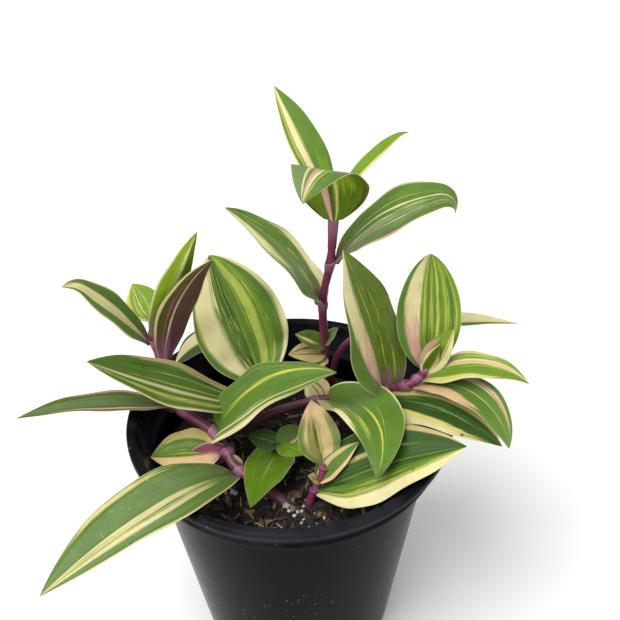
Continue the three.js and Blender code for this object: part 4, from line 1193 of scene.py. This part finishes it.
def litter_piece(name, rng, shape, faces, places, sizes, tilt, ragged, material):
    """Many copies of one small shape, each with its own size, turn, place and ragged corners."""
    count = len(places)
    wild = 2 * rng.random((count, len(shape), 3)) - 1
    points = shape[None] * sizes[:, None] * (1 + ragged * wild)
    points = np.einsum("nil,npl->npi", tumbled(rng, count, tilt), points) + places[:, None]
    first = (np.arange(count) * len(shape))[:, None, None]
    blocks = [(block[None] + first).reshape(-1, block.shape[1]) for block in faces]
    shades = np.repeat(rng.random(count), len(shape))
    piece = make_piece(name, [Patch(points, blocks, under=shades)], [material], mark="shade")
    piece.data.set_sharp_from_angle(angle=math.radians(25))
    return piece


CHUNKS = 150
STRAWS = 60
# Middles of the heaps of perlite, as x and y. The one at the front counts several times.
PERLITE_HEAPS = ((0, -26), (0.5, -26), (-0.5, -25), (1, -25), (4, -31), (-22, -16), (17, -26),
                 (-28, 6), (24, -8), (10, 22), (-8, 30))
# The largest bits of bark: x, y and half their length.
BARK_LUMPS = ((1, -20, 2.9), (10.5, -25.5, 2.4), (-20.5, -20.5, 2.2), (-24, -24, 2.0),
              (-19.5, 3, 2.2), (22, -20, 2.0), (14, 6, 2.6), (-6, 30, 2.4))
# A sliver is a rough box, and a grain has twenty faces.
SLIVER = np.array([(-1, -0.5, -0.6), (1, -0.35, -0.5), (1, 0.35, -0.5), (-1, 0.5, -0.6),
                   (-0.9, -0.5, 0.5), (0.8, -0.4, 0.6), (0.9, 0.3, 0.5), (-0.8, 0.45, 0.6)])
SLIVER_FACES = [np.array([(0, 3, 2, 1), (4, 5, 6, 7), (0, 1, 5, 4), (1, 2, 6, 5), (2, 3, 7, 6),
                          (3, 0, 4, 7)])]
GOLD = (1 + 5 ** 0.5) / 2
GRAIN = np.array([(-1, GOLD, 0), (1, GOLD, 0), (-1, -GOLD, 0), (1, -GOLD, 0), (0, -1, GOLD),
                  (0, 1, GOLD), (0, -1, -GOLD), (0, 1, -GOLD), (GOLD, 0, -1), (GOLD, 0, 1),
                  (-GOLD, 0, -1), (-GOLD, 0, 1)]) / 1.9
GRAIN_FACES = [np.array([(0, 11, 5), (0, 5, 1), (0, 1, 7), (0, 7, 10), (0, 10, 11), (1, 5, 9),
                         (5, 11, 4), (11, 10, 2), (10, 7, 6), (7, 1, 8), (3, 9, 4), (3, 4, 2),
                         (3, 2, 6), (3, 6, 8), (3, 8, 9), (4, 9, 5), (2, 4, 11), (6, 2, 10),
                         (8, 6, 7), (9, 8, 1)])]


def fibre_piece(rng, count, material):
    """Root fibres: thin tubes of three sides along a line that bends up and to the side."""
    steps, sides = 10, 3
    s = np.linspace(-1, 1, steps)
    starts = scatter(rng, count, 6)
    patches = []
    for place in starts:
        reach = 2.0 + 3.5 * rng.random()
        turn = 2 * math.pi * rng.random()
        bow, lift = 2.4 * rng.random() - 1.2, 0.4 + 1.4 * rng.random()
        way = np.array([math.cos(turn), math.sin(turn), 0])
        side = np.array([-way[1], way[0], 0])
        line = (place + way * (s * reach)[:, None] + side * (bow * np.sin(2.6 * s))[:, None]
                + np.array([0, 0, 1]) * (lift * (1 - s * s) - 0.2)[:, None])
        tangent = np.gradient(line, axis=0)
        tangent /= np.linalg.norm(tangent, axis=1, keepdims=True)
        rings = tube(line, tangent, 0.22 * (1 - 0.6 * np.abs(s)), sides)
        shade = np.full(steps * sides, rng.random())
        patches.append(Patch(rings, closed_tube(steps, sides), under=shade))
    piece = make_piece("root_fibres", patches, [material], mark="shade")
    return piece


# ------------------------------------------------------------------ operators

class PLANT_OT_pot(bpy.types.Operator):
    """Build the nursery pot"""
    bl_idname = "plant.pot"
    bl_label = "Pot"

    def execute(self, context):
        pot_piece()
        return {"FINISHED"}


class PLANT_OT_soil(bpy.types.Operator):
    """Build the bed of potting mix with its bark, perlite and fibres"""
    bl_idname = "plant.soil"
    bl_label = "Soil"

    def execute(self, context):
        soil = context.scene.plant_soil
        rng = np.random.default_rng(soil.seed)
        soil_piece()
        bark = litter_finish("bark", DARK_BARK, tuple(soil.bark_tone), 0.75)
        sizes = np.stack([0.6 + 2.2 * rng.random(soil.bark) ** 3,
                          0.5 + 1.4 * rng.random(soil.bark) ** 2,
                          0.3 + 0.7 * rng.random(soil.bark)], -1)
        litter_piece("bark_slivers", rng, SLIVER, SLIVER_FACES, scatter(rng, soil.bark, 3.6), sizes,
                     35, 0.4, bark)
        chunk = litter_finish("bark_chunks", DARK_CHUNK, PALE_CHUNK, 0.55)
        sizes = np.stack([1.2 + 1.5 * rng.random(CHUNKS), 0.7 + 0.9 * rng.random(CHUNKS),
                          0.5 + 0.7 * rng.random(CHUNKS)], -1)
        x, y, half = np.array(BARK_LUMPS).T
        lumps = np.stack([x, y, soil_top(x, y, soil.seed) + 0.4 * half], -1)
        sizes = np.vstack([sizes, np.outer(half, (1.0, 0.8, 0.65))])
        litter_piece("bark_chunks", rng, SLIVER, SLIVER_FACES,
                     np.vstack([scatter(rng, CHUNKS, 5.0), lumps]), sizes, 40, 0.35, chunk)
        straw = litter_finish("straw", DARK_STRAW, PALE_STRAW, 0.6)
        sizes = np.stack([1.2 + 1.6 * rng.random(STRAWS), 0.22 + 0.3 * rng.random(STRAWS),
                          0.15 + 0.15 * rng.random(STRAWS)], -1)
        lifted = scatter(rng, STRAWS, 4.5) + np.array([0, 0, 0.5])
        litter_piece("straw_slivers", rng, SLIVER, SLIVER_FACES, lifted, sizes, 25, 0.3, straw)
        grain = litter_finish("perlite", DARK_PERLITE, tuple(soil.perlite), 0.85)
        sizes = 0.35 + (1.1 * rng.random((soil.grains, 1)) ** 3
                        * (0.8 + 0.4 * rng.random((soil.grains, 3))))
        near = clusters(rng, soil.grains - soil.grains // 3, PERLITE_HEAPS, 2.2)
        places = np.vstack([near, scatter(rng, soil.grains // 3, 3.0)]) + np.array([0, 0, 0.3])
        litter_piece("perlite_grains", rng, GRAIN, GRAIN_FACES, places, sizes, 180, 0.45, grain)
        fibre_piece(rng, soil.fibres, litter_finish("fibre", DARK_FIBRE, PALE_FIBRE, 0.7))
        return {"FINISHED"}


class PLANT_OT_stems(bpy.types.Operator):
    """Grow the stems with their young leaves and buds"""
    bl_idname = "plant.stems"
    bl_label = "Stems"

    def execute(self, context):
        skin = stem_finish("stem_skin")
        for name in STEMS:
            materials = [skin]
            patches = [stem_patch(name, 0)]
            for number, (shoot, leaf) in enumerate(SHOOTS.items()):
                if leaf["on"][0] == name:
                    base = stem_points(name, leaf["on"][1])[0][0]
                    patches.append(blade_patch(leaf, base, len(materials), *SHOOT_GRID))
                    materials.append(leaf_finish(shoot, STRIPES[shoot], number + SHOOT_SEED))
            piece = make_piece(name + "_stalk", patches, materials)
            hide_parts(name + "_stem")
        return {"FINISHED"}


class PLANT_OT_leaves(bpy.types.Operator):
    """Grow the leaves with their sheaths"""
    bl_idname = "plant.leaves"
    bl_label = "Leaves"

    def execute(self, context):
        sheath = sheath_finish("sheath_skin")
        for number, (name, leaf) in enumerate(LEAVES.items()):
            patches = [blade_patch(leaf, leaf_base(leaf), 0), sheath_patch(leaf, 1)]
            piece = make_piece(name + "_blade", patches,
                               [leaf_finish(name, STRIPES[name], number + 1), sheath])
            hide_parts("leaf_" + name)
        return {"FINISHED"}


class PLANT_OT_stage(bpy.types.Operator):
    """Lay the pale floor and set the light and the camera"""
    bl_idname = "plant.stage"
    bl_label = "Stage"

    def execute(self, context):
        scene = context.scene
        look = scene.plant_stage
        scene.view_settings.view_transform = "Standard"
        finish = Finish("pale_floor")
        grain = finish.noise(finish.here(), 6.0, 2.0)
        finish.set(Base_Color=finish.brighten(tuple(look.floor), grain, 0.98, 1.0), Roughness=0.7)
        mesh = bpy.data.meshes.new("floor")
        far = FLOOR_REACH
        mesh.from_pydata([(-far, -far, 0), (far, -far, 0), (far, far, 0), (-far, far, 0)], [],
                         [(0, 1, 2, 3)])
        mesh.materials.append(finish.material)
        floor = bpy.data.objects.new("floor", mesh)
        scene.collection.objects.link(floor)
        world = bpy.data.worlds.new("even_light")
        world.use_nodes = True
        world.node_tree.nodes["Background"].inputs[0].default_value = (1.0, 1.0, 1.0, 1.0)
        world.node_tree.nodes["Background"].inputs[1].default_value = look.sky
        scene.world = world
        key = bpy.data.lights.new("key", "SUN")
        key.energy = look.key
        key.angle = look.spread
        self.aim_light(scene, key, KEY_PLACE)
        fill = bpy.data.lights.new("fill", "AREA")
        fill.energy = look.fill
        fill.size = FILL_SIZE
        self.aim_light(scene, fill, FILL_PLACE)
        self.add_camera(scene, look.lens)
        return {"FINISHED"}

    def aim_light(self, scene, lamp, place):
        """A light at a place, turned towards the middle of the pot's rim."""
        light = bpy.data.objects.new(lamp.name, lamp)
        light.location = place
        light.rotation_mode = "QUATERNION"
        aim = Vector((0, 0, POT_BOX[1].z)) - light.location
        light.rotation_quaternion = aim.to_track_quat("-Z", "Y")
        scene.collection.objects.link(light)

    def add_camera(self, scene, lens):
        """The camera stands in front of the middle of the rim and above it, aims there, and is then
        turned by a yaw, a pitch and a roll."""
        def about(axis, vector, degrees):
            turn = math.radians(degrees)
            return (vector * math.cos(turn) + np.cross(axis, vector) * math.sin(turn)
                    + axis * np.dot(axis, vector) * (1 - math.cos(turn)))

        height = math.radians(CAMERA_ABOVE)
        eye = CAMERA_DISTANCE * np.array([0.0, -math.cos(height), math.sin(height)])
        ahead = -eye / np.linalg.norm(eye)
        right = np.array([1.0, 0.0, 0.0])
        up = np.cross(right, ahead)
        ahead, right = about(up, ahead, CAMERA_YAW), about(up, right, CAMERA_YAW)
        ahead, up = about(right, ahead, CAMERA_PITCH), about(right, up, CAMERA_PITCH)
        right, up = about(ahead, right, CAMERA_ROLL), about(ahead, up, CAMERA_ROLL)
        eye = (eye + np.array([0.0, 0.0, RIM_HEIGHT])) * MM
        matrix = np.eye(4)
        matrix[:3, 0], matrix[:3, 1], matrix[:3, 2], matrix[:3, 3] = right, up, -ahead, eye
        data = bpy.data.cameras.new("camera")
        data.sensor_width = SENSOR_WIDTH
        data.lens = lens
        data.clip_start = 0.01
        camera = bpy.data.objects.new("camera", data)
        camera.matrix_world = Matrix(matrix.tolist())
        scene.collection.objects.link(camera)
        scene.camera = camera


class PLANT_PT_panel(bpy.types.Panel):
    """The plant's pieces and their settings"""
    bl_idname = "PLANT_PT_panel"
    bl_label = "Potted tradescantia"
    bl_space_type = "VIEW_3D"
    bl_region_type = "UI"
    bl_category = "Plant"

    def draw(self, context):
        for group, operator in (("plant_pot", "plant.pot"), ("plant_soil", "plant.soil"),
                                ("plant_stems", "plant.stems"), ("plant_leaves", "plant.leaves"),
                                ("plant_stage", "plant.stage")):
            box = self.layout.box()
            box.operator(operator)
            settings = getattr(context.scene, group)
            for name in type(settings).__annotations__:
                box.prop(settings, name)


GROUPS = {"plant_pot": PotSettings, "plant_soil": SoilSettings, "plant_stems": StemColours,
          "plant_leaves": LeafColours, "plant_stage": StageSettings}
CLASSES = (*GROUPS.values(), PLANT_OT_pot, PLANT_OT_soil, PLANT_OT_stems, PLANT_OT_leaves,
           PLANT_OT_stage, PLANT_PT_panel)


def register():
    for item in CLASSES:
        bpy.utils.register_class(item)
    for name, group in GROUPS.items():
        setattr(bpy.types.Scene, name, bpy.props.PointerProperty(type=group))


def unregister():
    for name in GROUPS:
        delattr(bpy.types.Scene, name)
    for item in reversed(CLASSES):
        bpy.utils.unregister_class(item)


def main():
    register()
    bpy.ops.plant.stage()
    bpy.ops.plant.pot()
    bpy.ops.plant.soil()
    bpy.ops.plant.stems()
    bpy.ops.plant.leaves()


if __name__ == "__main__":
    main()
